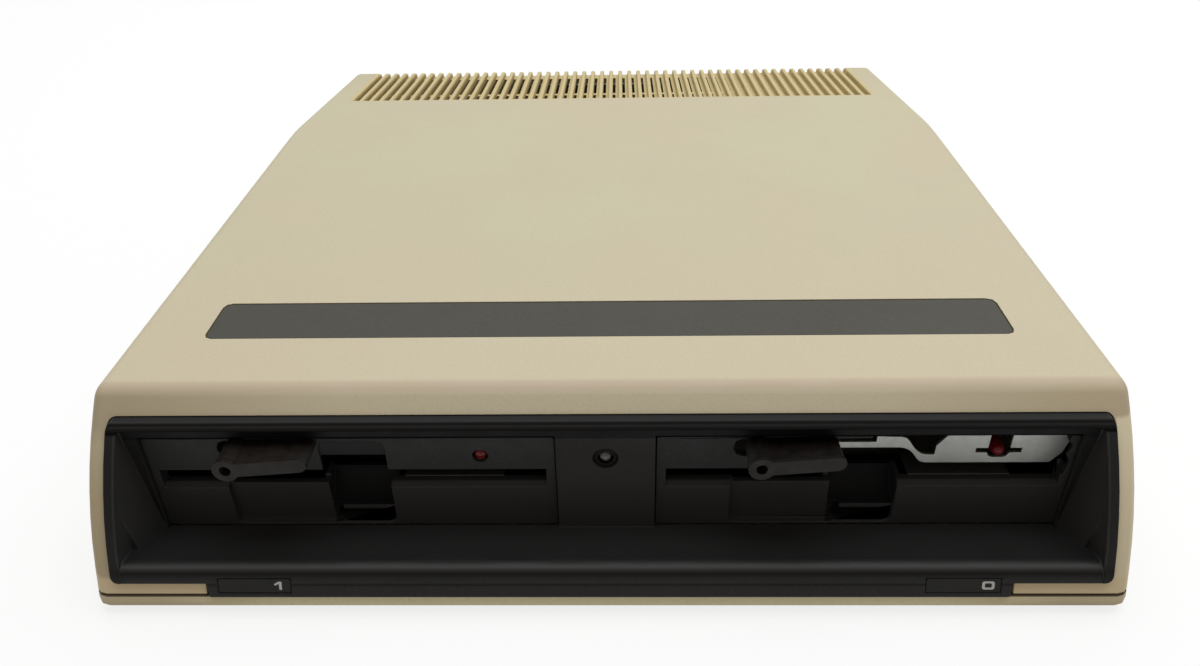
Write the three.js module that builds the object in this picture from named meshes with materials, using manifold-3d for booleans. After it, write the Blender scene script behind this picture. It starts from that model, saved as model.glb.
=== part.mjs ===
// A low desktop case with two half-height floppy disk drives side by side.
// Sizes are millimetres. X runs to the right, Y to the back and Z up. Y = 0 is the front plane
// of the drives and Z = 0 is the desk under the rubber feet.
import * as THREE from 'three';
import { mergeVertices } from 'three/addons/utils/BufferGeometryUtils.js';
import { ConvexGeometry } from 'three/addons/geometries/ConvexGeometry.js';
import Module from 'manifold-3d';

const wasm = await Module();
wasm.setup();

// Clearances
const seatGap = 0.3;
const partingGap = 0.4;

// Drive, half-height, 5.25 inch
const fasciaHalfWidth = 72.5;
const driveBottom = 10.9;
const driveTop = 52;
const fasciaThickness = 5;
const upperSkin = 1.6;
const slotMargin = 3.5;
const slotHalfWidth = fasciaHalfWidth - slotMargin;
const diskSlot = { bottom: 30.6, top: 37.5, bevelDepth: 2.2, bevelDrop: 1.4 };
const pocket = { left: -45.8, right: -10.2, bottom: 11.6, top: 50.9, depth: 2.5, sill: 29.4, round: 3 };
const notch = { left: -10.2, right: 13, bottom: 11.8, top: 50.7, round: 3 };
const bossHole = { side: 7.8, below: 5.5, round: 3 };
const scoop = { centreY: -1, centreZ: 31, radius: 11.5, wall: 2 };
const ledX = 46.3;
const ledZ = 43.6;
const ledRadius = 2.4;
const ledTipY = 0.9;

// Turn lever
const leverX = -37.9;
const leverZ = 48.9;
const leverArm = 25.1;
const leverDepth = 13.6;
const leverBoss = 4.6;
const leverTip = 2.95;
const leverPlate = 1.6;
const leverTilt = THREE.MathUtils.degToRad(5.1);
const leverHole = 1.95;
const shaftRadius = 2.4;
const shaftRear = 44;
const camY = 38;
const camLength = 10;

// Drive mechanism
const chassisRear = 200;
const chassisTop = 50;
const railThickness = 3;
const deckBottom = 25.6;
const deckTop = 28.4;
const spindleY = 70;
const hubRadius = 18.5;
const hubBore = 14.5;
const hubTop = 30.8;
const rotorRadius = 20;
const boardThickness = 1.6;
const headY = 127;
const headTravel = 19.6;
const railOffset = 17;
const railZ = 20.5;
const railRadius = 2;
const stepperRadius = 15;
const stepperClearance = 3.5;
const pulleyX = fasciaHalfWidth - railThickness - stepperClearance - stepperRadius;
const pulleyY = 163;
const pulleyRadius = headTravel / Math.PI;
const clampHingeY = 186;
const clampHingeZ = 38.2;
const clampLift = THREE.MathUtils.degToRad(3.45);
const clampPin = 1.5;
const clampNose = 13;
const clampRing = 17.5;
const bracketThickness = 1.2;
const bracketFront = 2;

// Front bezel. The post parts the drives, and the widths follow from theirs.
const postHalfWidth = 17.35;
const driveGap = 0.35;
const windowCover = 0.7;
const recessFlare = 5;
const bezelRim = 3.65;
const driveX = postHalfWidth + driveGap + fasciaHalfWidth;
const windowOuterX = driveX + fasciaHalfWidth - windowCover;
const recessHalfWidth = windowOuterX + recessFlare;
const bezelWidth = 2 * (recessHalfWidth + bezelRim);
const bezelBottom = 12.5;
const bezelTop = 61;
const bezelRound = 2.6;
const bezelProud = 1.5;
const bezelSkin = 2.4;
const bezelBack = 8;
const windowPlane = -2.5;
const windowTop = driveTop + 2.3;
const recessLip = { y: -26.6, z: 19 };
const recessTop = { y: -2.7, z: 57.4 };
const floorBack = { y: -0.4, z: 11.2 };
const lipHalfWidth = bezelWidth / 2 - 32.85;
const lipTaper = 1.2;
const lipRound = 4.5;
const labelRecess = 0.9;
const labelSize = { margin: 4.3, width: 25.5, bottom: 9.2, top: 14.5 };
const powerLedZ = 44.3;
const powerLedRadius = 2.25;
const powerLedWell = 4.4;

// Case
const caseCheek = 7.5;
const caseWidth = bezelWidth + 2 * caseCheek;
const caseTop = 68.7;
const caseRear = 395;
const caseWall = 3;
const sideRound = 5;
const smallestRound = 0.4;
const frontTopY = 8;
const frontTopRound = 9;
const frontBendY = -17.7;
const frontBendZ = 42.5;
const frontBendRadius = 130;
const toeY = -32.5;
const toeRound = 2;
const rearTopRound = 6;
const kinkY = 249;
const kinkRadius = 180;
const rearFall = THREE.MathUtils.degToRad(5.7);
const footHeight = 2.2;
const footRadius = 9;
const footInset = 32;
const footFrontY = 8;
const partingZ = 7.45;
const lipBottom = partingZ + partingGap;
const trayFloor = 2.5;
const tongueThickness = 1.2;
const tongueHeight = 2.2;
const tongueRound = 3;

// Ribbed vent on the rear slope
const ventStart = caseRear - 81.5;
const ventMargin = 16.85;
const groovePitch = 6.2;
const grooveCount = Math.floor((caseWidth - 2 * ventMargin) / groovePitch);
const grooveWidth = 3.6;
const grooveDepth = 3.7;
const grooveShoulder = 0.7;
const ventFloor = 2.3;
const slotWidth = 1.7;
const slotRows = [[3, 24], [28, 71]];

// Name strip
const stripMargin = 28.75;
const stripWidth = caseWidth - 2 * stripMargin;
const stripDepth = 24.2;
const stripFrontY = 38.1;
const stripThickness = 0.7;
const stripRecess = 0.9;
const stripRound = 3;

// Rear compartment. The supply stands on the left, and the logic board fills the rest.
const panelY = caseRear - 15;
const panelThickness = 1.2;
const connectorFace = panelY + panelThickness + seatGap;
const rearOpeningHalf = caseWidth / 2 - 25.8;
const rearOpeningTop = 44;
const boardZ = 10;
const boardFront = panelY - 170;
const boardRear = panelY - 8;
const boardEdge = caseWidth / 2 - 14.15;
const supplyWidth = 108;
const connectorZ = 26;
const switchX = 22 - boardEdge;
const inletX = 52 - boardEdge;
const fuseX = 82 - boardEdge;
const dataX = boardEdge - 68;
const screwX = caseWidth / 2 - 7.6;
const screwFrontY = 30;
const screwRearY = caseRear - 29;
const bossRadius = 3.2;
const screwRadius = 1.5;
const screwSeat = 0.6;
const postRadius = 3;
const traySlots = { count: 10, pitch: 6, width: 2.5, inset: 13, rearInset: 20, length: 17 };

const beige = new THREE.MeshStandardMaterial({ color: 0xc6b48e, roughness: 0.62 });
const black = new THREE.MeshStandardMaterial({ color: 0x1c1a1b, roughness: 0.6 });
const fasciaBlack = new THREE.MeshStandardMaterial({ color: 0x232323, roughness: 0.55 });
const leverGrey = new THREE.MeshStandardMaterial({ color: 0x343032, roughness: 0.5 });
const stripGrey = new THREE.MeshStandardMaterial({ color: 0x3a372f, roughness: 0.5 });
const rubber = new THREE.MeshStandardMaterial({ color: 0x161616, roughness: 0.9 });
const castAlloy = new THREE.MeshStandardMaterial({ color: 0x9a9c9c, roughness: 0.5, metalness: 0.8 });
const steel = new THREE.MeshStandardMaterial({ color: 0xb9bab2, roughness: 0.35, metalness: 0.9 });
const zinc = new THREE.MeshStandardMaterial({ color: 0xcfcdb8, roughness: 0.4, metalness: 0.7 });
const redLens = new THREE.MeshStandardMaterial({ color: 0x8e1018, roughness: 0.2 });
const greyLens = new THREE.MeshStandardMaterial({ color: 0x6d6e6c, roughness: 0.25 });
const circuitBoard = new THREE.MeshStandardMaterial({ color: 0x2c5a34, roughness: 0.6 });
const aluminium = new THREE.MeshStandardMaterial({ color: 0xa9abad, roughness: 0.4, metalness: 0.9 });
const varnishedIron = new THREE.MeshStandardMaterial({ color: 0x55504a, roughness: 0.6 });

// Outlines. A rounded outline takes corners as [u, v, radius, pieces] and swaps each for a
// tangent arc of so many straight pieces.
function roundedOutline(corners, usual = 3) {
  const outline = [];
  corners.forEach(([u, v, radius = 0, pieces = usual], i) => {
    const before = corners[(i + corners.length - 1) % corners.length];
    const after = corners[(i + 1) % corners.length];
    const inward = new THREE.Vector2(u - before[0], v - before[1]).normalize();
    const outward = new THREE.Vector2(after[0] - u, after[1] - v).normalize();
    const turn = Math.atan2(inward.cross(outward), inward.dot(outward));
    if (radius === 0) {
      outline.push([u, v]);
      return;
    }
    const reach = radius * Math.tan(Math.abs(turn) / 2);
    const side = Math.sign(turn);
    const centreU = u - inward.x * reach - inward.y * radius * side;
    const centreV = v - inward.y * reach + inward.x * radius * side;
    const first = Math.atan2(v - inward.y * reach - centreV, u - inward.x * reach - centreU);
    for (let k = 0; k <= pieces; k += 1) {
      const angle = first + turn * k / pieces;
      outline.push([centreU + radius * Math.cos(angle), centreV + radius * Math.sin(angle)]);
    }
  });
  return outline;
}

function roundedRect(u0, u1, v0, v1, radius, pieces = 2) {
  const corners = [[u0, v0, radius], [u1, v0, radius], [u1, v1, radius], [u0, v1, radius]];
  return roundedOutline(corners, pieces);
}

function circle(u, v, radius, sides = 12) {
  const outline = [];
  for (let k = 0; k < sides; k += 1) {
    const angle = 2 * Math.PI * k / sides;
    outline.push([u + radius * Math.cos(angle), v + radius * Math.sin(angle)]);
  }
  return outline;
}

// Moves every side of a convex outline inwards by the given distance.
function inset(outline, distance) {
  return outline.map(([u, v], i) => {
    const before = outline[(i + outline.length - 1) % outline.length];
    const after = outline[(i + 1) % outline.length];
    const a = new THREE.Vector2(u - before[0], v - before[1]).normalize();
    const b = new THREE.Vector2(after[0] - u, after[1] - v).normalize();
    const spread = 1 + a.dot(b);
    return [u - (a.y + b.y) * distance / spread, v + (a.x + b.x) * distance / spread];
  });
}

// Turns a closed geometry into a solid. Only positions are kept, shared corners are merged,
// faces of no area are left out, and faces are wound so that they point outwards.
function solid(geometry) {
  const plain = geometry.index ? geometry.toNonIndexed() : geometry.clone();
  plain.deleteAttribute('normal');
  plain.deleteAttribute('uv');
  const merged = mergeVertices(plain, 1e-4);
  const points = merged.attributes.position.array;
  const corners = [];
  let volume = 0;
  const at = (i) => new THREE.Vector3(points[3 * i], points[3 * i + 1], points[3 * i + 2]);
  for (let i = 0; i < merged.index.count; i += 3) {
    const [a, b, c] = [merged.index.getX(i), merged.index.getX(i + 1), merged.index.getX(i + 2)];
    if (a !== b && b !== c && c !== a) {
      corners.push([a, b, c]);
      volume += at(a).dot(at(b).cross(at(c)));
    }
  }
  if (volume < 0) {
    corners.forEach((face) => face.reverse());
  }
  return new wasm.Manifold(new wasm.Mesh({
    numProp: 3,
    vertProperties: Float32Array.from(points),
    triVerts: Uint32Array.from(corners.flat()),
  }));
}

function shape(outline) {
  return new THREE.Shape(outline.map(([u, v]) => new THREE.Vector2(u, v)));
}

function extruded(outline, length) {
  return new THREE.ExtrudeGeometry(shape(outline), { depth: length, bevelEnabled: false, steps: 1 });
}

// Prisms along each axis. Outlines are [y, z] along X, [x, z] along Y and [x, y] along Z.
function alongX(outline, x0, x1) {
  const turn = new THREE.Matrix4().set(0, 0, 1, x0, 1, 0, 0, 0, 0, 1, 0, 0, 0, 0, 0, 1);
  return solid(extruded(outline, x1 - x0).applyMatrix4(turn));
}

function alongY(outline, y0, y1) {
  const turn = new THREE.Matrix4().set(1, 0, 0, 0, 0, 0, -1, y1, 0, 1, 0, 0, 0, 0, 0, 1);
  return solid(extruded(outline, y1 - y0).applyMatrix4(turn));
}

function alongZ(outline, z0, z1) {
  return solid(extruded(outline, z1 - z0).translate(0, 0, z0));
}

function block(x0, x1, y0, y1, z0, z1) {
  const geometry = new THREE.BoxGeometry(x1 - x0, y1 - y0, z1 - z0);
  return solid(geometry.translate((x0 + x1) / 2, (y0 + y1) / 2, (z0 + z1) / 2));
}

// A turned piece on an upright axis. The profile is [radius, z] and starts and ends on the axis.
function turned(profile, x, y, sides = 28) {
  const points = profile.map(([radius, z]) => new THREE.Vector2(radius, z));
  const geometry = new THREE.LatheGeometry(points, sides);
  return solid(geometry.rotateX(Math.PI / 2).translate(x, y, 0));
}

// Skins rings of points, each with as many points, into one closed solid.
function lofted(rings) {
  const count = rings[0].length;
  const corners = [];
  for (let r = 0; r + 1 < rings.length; r += 1) {
    for (let i = 0; i < count; i += 1) {
      const j = (i + 1) % count;
      corners.push(rings[r][i], rings[r][j], rings[r + 1][j]);
      corners.push(rings[r][i], rings[r + 1][j], rings[r + 1][i]);
    }
  }
  const last = rings[rings.length - 1];
  for (let i = 1; i + 1 < count; i += 1) {
    corners.push(rings[0][0], rings[0][i + 1], rings[0][i]);
    corners.push(last[0], last[i], last[i + 1]);
  }
  const geometry = new THREE.BufferGeometry();
  geometry.setAttribute('position', new THREE.Float32BufferAttribute(corners.flat(), 3));
  return solid(geometry);
}

// A block between two X values given in either order, so that it can be mirrored.
function mirroredBlock(xa, xb, y0, y1, z0, z1) {
  return block(Math.min(xa, xb), Math.max(xa, xb), y0, y1, z0, z1);
}

function joined(solids) {
  return solids.reduce((whole, piece) => whole.add(piece));
}

function mesh(name, material, made) {
  const { vertProperties, triVerts } = made.getMesh();
  const geometry = new THREE.BufferGeometry();
  geometry.setAttribute('position', new THREE.BufferAttribute(Float32Array.from(vertProperties), 3));
  geometry.setIndex(new THREE.BufferAttribute(Uint32Array.from(triVerts), 1));
  geometry.computeVertexNormals();
  const piece = new THREE.Mesh(geometry, material);
  piece.name = name;
  return piece;
}

// Case. The side outline has a curved, leaning front, a flat top and a rear slope.
function slopeZ(y) {
  return caseTop - (y - kinkY) * Math.tan(rearFall);
}

const sideCorners = [
  [toeY, footHeight, toeRound, 3],
  [caseRear, footHeight, toeRound, 2],
  [caseRear, slopeZ(caseRear), rearTopRound, 2],
  [kinkY, caseTop, kinkRadius, 2],
  [frontTopY, caseTop, frontTopRound, 5],
  [frontBendY, frontBendZ, frontBendRadius, 6],
];
const sideOutline = roundedOutline(sideCorners);
const frontLean = (frontBendY - toeY) / (frontBendZ - footHeight);

// The leaning front below its bend, at a height.
function frontY(z) {
  return toeY + (z - footHeight) * frontLean;
}

// The side outline shrunk by a depth, with as many points at every depth.
function shrunkSide(depth) {
  const moved = inset(sideCorners, depth);
  return roundedOutline(sideCorners.map(([, , radius, pieces], i) =>
    [...moved[i], Math.max(radius - depth, smallestRound), pieces]));
}

// The whole case form, rounded along both sides, and shrunk all over by a wall.
function caseForm(wall) {
  const half = caseWidth / 2 - wall;
  const round = sideRound - wall;
  const steps = wall > 0 ? 1 : 3;
  const stations = [];
  for (let k = 0; k <= steps; k += 1) {
    const angle = Math.PI / 2 * k / steps;
    stations.push([half - round + round * Math.sin(angle), wall + round - round * Math.cos(angle)]);
  }
  const mirrored = stations.map(([x, depth]) => [-x, depth]).reverse();
  return lofted([...mirrored, ...stations].map(([x, depth]) =>
    shrunkSide(depth).map(([y, z]) => [x, y, z])));
}

const screwPlaces = [
  [-screwX, screwFrontY],
  [screwX, screwFrontY],
  [-screwX, screwRearY],
  [screwX, screwRearY],
];

// Places a solid drawn along the rear slope, with its origin at the front end of the vent.
function onSlope(geometry) {
  return solid(geometry.rotateX(-rearFall).translate(0, ventStart, slopeZ(ventStart)));
}

function slopeBlock(x0, x1, y0, y1, z0, z1) {
  const geometry = new THREE.BoxGeometry(x1 - x0, y1 - y0, z1 - z0);
  return onSlope(geometry.translate((x0 + x1) / 2, (y0 + y1) / 2, (z0 + z1) / 2));
}

// One vent groove: shoulders round the ribs on each side, and narrow slots in the groove's
// floor, against its left wall, let the air out in two rows with a bar between them.
function ventGroove(x) {
  const half = grooveWidth / 2;
  const mouth = half + grooveShoulder;
  const section = [
    [-half, -grooveDepth], [half, -grooveDepth], [half, -grooveShoulder], [mouth, 0.4],
    [-mouth, 0.4], [-half, -grooveShoulder],
  ];
  const length = (caseRear - ventStart) / Math.cos(rearFall) + caseWall;
  const turn = new THREE.Matrix4().set(1, 0, 0, x, 0, 0, -1, length, 0, 1, 0, 0, 0, 0, 0, 1);
  const groove = onSlope(extruded(section, length).applyMatrix4(turn));
  const slots = slotRows.map(([y0, y1]) =>
    slopeBlock(x - half, x - half + slotWidth, y0, y1, -grooveDepth - 2 * ventFloor, -grooveDepth / 2));
  return joined([groove, ...slots]);
}

function topCover() {
  const padEnd = (caseRear - caseWall / 2 - ventStart) / Math.cos(rearFall);
  const padHalf = grooveCount * groovePitch / 2 + caseWall;
  const padBottom = -grooveDepth - ventFloor;
  const pad = slopeBlock(-padHalf, padHalf, -caseWall, padEnd, padBottom, -caseWall + 0.1);
  const bosses = screwPlaces.map(([x, y]) => {
    const top = slopeZ(Math.max(y, kinkY)) - caseWall / 2;
    return alongZ(circle(x, y, bossRadius), partingZ + partingGap / 2, top);
  });
  const shell = joined([caseForm(0).subtract(caseForm(caseWall)), pad, ...bosses]);
  const grooves = [];
  for (let k = 0; k < grooveCount; k += 1) {
    grooves.push(ventGroove((k - (grooveCount - 1) / 2) * groovePitch));
  }
  const frontOpening = alongY(roundedRect(
    -bezelWidth / 2 - seatGap, bezelWidth / 2 + seatGap,
    bezelBottom - seatGap, bezelTop + seatGap, bezelRound + seatGap, 4,
  ), toeY - caseWall, bezelBack + caseWall);
  const front = toeY - caseWall;
  const back = caseRear + caseWall;
  const lipHalf = lipHalfWidth + seatGap;
  const cuts = joined([
    ...grooves,
    frontOpening,
    block(-lipHalf, lipHalf, front, 0, 0, bezelBottom + caseWall),
    block(-caseWidth, caseWidth, front, back, 0, partingZ + partingGap / 2),
    block(-rearOpeningHalf, rearOpeningHalf, caseRear - 2 * caseWall, back, 0, rearOpeningTop),
    alongZ(roundedRect(
      -stripWidth / 2 - seatGap, stripWidth / 2 + seatGap,
      stripFrontY - seatGap, stripFrontY + stripDepth + seatGap, stripRound,
    ), caseTop - stripRecess, caseTop + caseWall),
    ...screwPlaces.map(([x, y]) =>
      alongZ(circle(x, y, screwRadius + seatGap, 8), 0, 2.5 * partingZ)),
  ]);
  return mesh('top_cover', beige, shell.subtract(cuts));
}

const supplyRight = supplyWidth - boardEdge;
const boardPosts = [
  [6 - boardEdge, boardFront + 6],
  [supplyRight - 6, boardFront + 6],
  [6 - boardEdge, boardFront + 74],
  [supplyRight - 6, boardFront + 74],
  [supplyRight + 10, boardFront + 6],
  [boardEdge - 6, boardFront + 6],
  [supplyRight + 10, boardRear - 8],
  [boardEdge - 6, boardRear - 8],
  [14 - boardEdge, boardFront + 120],
  [supplyRight - 44, boardFront + 120],
];

// The bottom shell has a low rim, a tongue that closes the parting line from inside, screw
// bosses, board posts and cooling slots under the supply.
function baseTray() {
  const floorTop = footHeight + trayFloor;
  const rimTop = partingZ - partingGap / 2;
  const hollow = caseForm(trayFloor);
  const shell = caseForm(0).subtract(hollow);
  const postFoot = floorTop - 2;
  const bosses = screwPlaces.map(([x, y]) => alongZ(circle(x, y, bossRadius), postFoot, rimTop));
  const posts = boardPosts.map(([x, y]) =>
    alongZ(circle(x, y, postRadius, 6), postFoot, boardZ - seatGap));
  const front = toeY - caseWall;
  const upper = block(-caseWidth, caseWidth, front, caseRear + caseWall, rimTop, caseTop + caseWall);
  const tongueTop = partingZ + tongueHeight;
  const plan = (wall, clear, top) => {
    const x = caseWidth / 2 - wall;
    const outline = roundedRect(-x, x, frontY(top) + wall + clear, caseRear - wall, tongueRound);
    return alongZ(outline, floorTop - 0.5, top);
  };
  const tongueWall = caseWall + 2 * seatGap;
  const tongue = plan(trayFloor - seatGap, -1, rimTop)
    .add(plan(tongueWall, 0, tongueTop))
    .subtract(plan(tongueWall + tongueThickness, 0, tongueTop));
  const cuts = [
    block(
      -rearOpeningHalf, rearOpeningHalf, caseRear - 2 * caseWall, caseRear, rimTop, tongueTop + 1,
    ),
  ];
  screwPlaces.forEach(([x, y]) => {
    cuts.push(alongZ(circle(x, y, screwRadius + seatGap, 8), 0, 2 * partingZ));
    cuts.push(alongZ(circle(x, y, 2 * screwRadius), 0, floorTop - screwSeat));
    cuts.push(alongZ(circle(x, y, bossRadius + seatGap), rimTop, tongueTop + 1));
  });
  for (let k = 0; k < traySlots.count; k += 1) {
    const x = traySlots.inset - boardEdge + traySlots.pitch * k;
    const y = boardRear - traySlots.rearInset - traySlots.length;
    cuts.push(block(x, x + traySlots.width, y, y + traySlots.length, 0, floorTop + 1));
  }
  const tray = joined([shell.subtract(upper), tongue, ...bosses, ...posts]);
  return mesh('base_tray', beige, tray.subtract(joined(cuts)));
}

function nameStrip() {
  const bottom = caseTop - stripRecess;
  return mesh('nameplate', stripGrey, alongZ(roundedRect(
    -stripWidth / 2, stripWidth / 2, stripFrontY, stripFrontY + stripDepth, stripRound,
  ), bottom, bottom + stripThickness));
}

// The bezel stands a little proud of the leaning front. Its recess narrows towards the drives,
// its floor falls to the back, and a post with the power light parts the two windows.
function frontBezel() {
  const half = bezelWidth / 2;
  const proud = alongX(inset(sideOutline, -bezelProud), -half, half);
  const face = alongY(roundedRect(-half, half, bezelBottom, bezelTop, bezelRound, 4), toeY - 10, bezelBack);
  const lipFoot = lipHalfWidth - lipTaper;
  const lip = alongY([
    [-lipFoot, lipBottom], [lipFoot, lipBottom],
    [lipHalfWidth, bezelBottom + caseWall], [-lipHalfWidth, bezelBottom + caseWall],
  ], toeY - 10, recessLip.y + 8);
  const fall = (recessLip.z - floorBack.z) / (floorBack.y - recessLip.y);
  const floorAt = (y) => floorBack.z + (floorBack.y - y) * fall;
  const panBottom = floorBack.z - bezelSkin;
  const pan = block(
    1 - half, half - 1, frontY(bezelBottom) + caseWall + 2, bezelBack, panBottom, bezelBottom + 1,
  );
  const edge = frontY(recessLip.z) - bezelProud;
  const roundedEdge = alongX(roundedOutline([
    [recessLip.y + 2 * lipRound, floorAt(recessLip.y + 2 * lipRound)],
    [edge, floorAt(edge), lipRound, 4],
    [frontY(bezelBottom) - bezelProud, bezelBottom],
    [toeY - 10, bezelBottom], [toeY - 10, bezelTop], [recessLip.y + 2 * lipRound, bezelTop],
  ]), -recessHalfWidth, recessHalfWidth);
  const corners = [-1, 1].flatMap((side) => [
    new THREE.Vector3(side * recessHalfWidth, recessLip.y, recessLip.z),
    new THREE.Vector3(side * recessHalfWidth, recessTop.y, recessTop.z),
    new THREE.Vector3(side * recessHalfWidth, recessLip.y - 40, recessLip.z + 20),
    new THREE.Vector3(side * recessHalfWidth, recessTop.y - 40, recessTop.z + 20),
    new THREE.Vector3(side * windowOuterX, windowPlane, floorAt(windowPlane)),
    new THREE.Vector3(side * windowOuterX, windowPlane, recessTop.z),
  ]);
  const recess = solid(new ConvexGeometry(corners));
  const windowSection = [
    [windowPlane - 0.5, floorAt(windowPlane - 0.5)], [floorBack.y, floorBack.z],
    [floorBack.y, 0], [bezelBack + 1, 0], [bezelBack + 1, windowTop], [windowPlane - 0.5, windowTop],
  ];
  const windows = [
    alongX(windowSection, postHalfWidth, windowOuterX),
    alongX(windowSection, -windowOuterX, -postHalfWidth),
    block(-half + 3, half - 3, floorBack.y, bezelBack + 1, 0, floorBack.z + 1.5),
    ...[-1, 1].map((side) => mirroredBlock(
      side * (driveX + fasciaHalfWidth - 1), side * (driveX + fasciaHalfWidth + seatGap),
      floorBack.y, bezelBack + 1, 0, windowTop,
    )),
  ];
  const innerSkin = inset(sideOutline, bezelSkin - bezelProud);
  const under = alongX([
    [toeY, 0], [floorBack.y + 0.1, 0], [floorBack.y + 0.1, floorBack.z - bezelSkin],
    [recessLip.y, floorAt(recessLip.y) - bezelSkin], [toeY, floorAt(toeY) - bezelSkin],
  ], -half + bezelSkin, half - bezelSkin).intersect(alongX(innerSkin, -half, half));
  const hollowHalf = postHalfWidth - bezelSkin;
  const postHollow = block(
    -hollowHalf, hollowHalf, windowPlane + bezelSkin, bezelBack + 1, 0, windowTop,
  );
  const before = windowPlane - 1;
  const well = alongY(circle(0, powerLedZ, powerLedWell, 20), before, windowPlane + 1.8);
  const ledHole = alongY(circle(0, powerLedZ, powerLedRadius + seatGap, 14), before, windowPlane + 4);
  const shallow = alongX(inset(sideOutline, -bezelProud - 1), -half, half)
    .subtract(alongX(inset(sideOutline, labelRecess - bezelProud), -half, half));
  const labelOuter = lipHalfWidth - labelSize.margin;
  const labelInner = labelOuter - labelSize.width;
  const labels = [-1, 1].map((side) => mirroredBlock(
    side * labelInner, side * labelOuter, toeY - 10, 0, labelSize.bottom, labelSize.top,
  ).intersect(shallow));
  const body = proud.intersect(face.add(lip).add(pan));
  const cuts = joined([recess, roundedEdge, ...windows, under, postHollow, well, ledHole, ...labels]);
  return mesh('front_bezel', black, body.subtract(cuts));
}

function powerLed() {
  const dome = [
    [0, 0], [0.9, 0.2], [1.7, 0.75], [powerLedRadius, 1.7],
    [powerLedRadius, 4.2], [3.1, 4.2], [3.1, 5.4], [0, 5.4],
  ];
  const points = dome.map(([radius, y]) => new THREE.Vector2(radius, y));
  const geometry = new THREE.LatheGeometry(points, 14).translate(0, windowPlane + 0.2, powerLedZ);
  return mesh('power_led', greyLens, solid(geometry));
}

// Round rubber feet under the tray, near its corners
function feet() {
  const x = caseWidth / 2 - footInset;
  const rear = caseRear - footInset;
  const places = {
    front_left: [-x, footFrontY],
    front_right: [x, footFrontY],
    rear_left: [-x, rear],
    rear_right: [x, rear],
  };
  return Object.entries(places).map(([name, [px, py]]) => mesh(`foot_${name}`, rubber, turned([
    [0, 0], [footRadius - 1, 0], [footRadius, 0.8], [footRadius - 0.5, footHeight], [0, footHeight],
  ], px, py, 16)));
}

function caseScrews() {
  const head = footHeight + trayFloor - screwSeat - seatGap;
  return screwPlaces.map(([x, y], i) => mesh(`case_screw_${i + 1}`, steel, turned([
    [0, head - 1.8], [2.2, head - 1.8], [2.7, head - 0.9], [2.7, head],
    [screwRadius, head], [screwRadius, 2 * partingZ], [0, 2 * partingZ + 1],
  ], x, y, 8)));
}

// Folded steel cradle that carries both drives above the tray.
function driveCradle() {
  const plateTop = driveBottom - seatGap;
  const plateBottom = plateTop - bracketThickness;
  const foot = footHeight + trayFloor + seatGap;
  const outer = driveX + fasciaHalfWidth + seatGap;
  const inner = driveX - fasciaHalfWidth - seatGap;
  const front = 16;
  const rear = chassisRear - 4;
  const half = outer + bracketThickness;
  const pieces = [block(-half, half, front, rear, plateBottom, plateTop)];
  [-1, 1].forEach((side) => pieces.push(
    mirroredBlock(side * outer, side * half, front, rear, foot, 32),
    mirroredBlock(side * inner, side * (inner - bracketThickness), front, rear, plateBottom, 26),
    mirroredBlock(side * 6, side * (6 + bracketThickness), front, rear, foot, plateTop),
  ));
  const holes = [-1, 1].flatMap((side) => [60, 110, 160].map((y) =>
    block(side * driveX - 45, side * driveX + 45, y - 15, y + 15, plateBottom - 1, plateTop + 1)));
  return mesh('drive_cradle', zinc, joined(pieces).subtract(joined(holes)));
}

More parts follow.
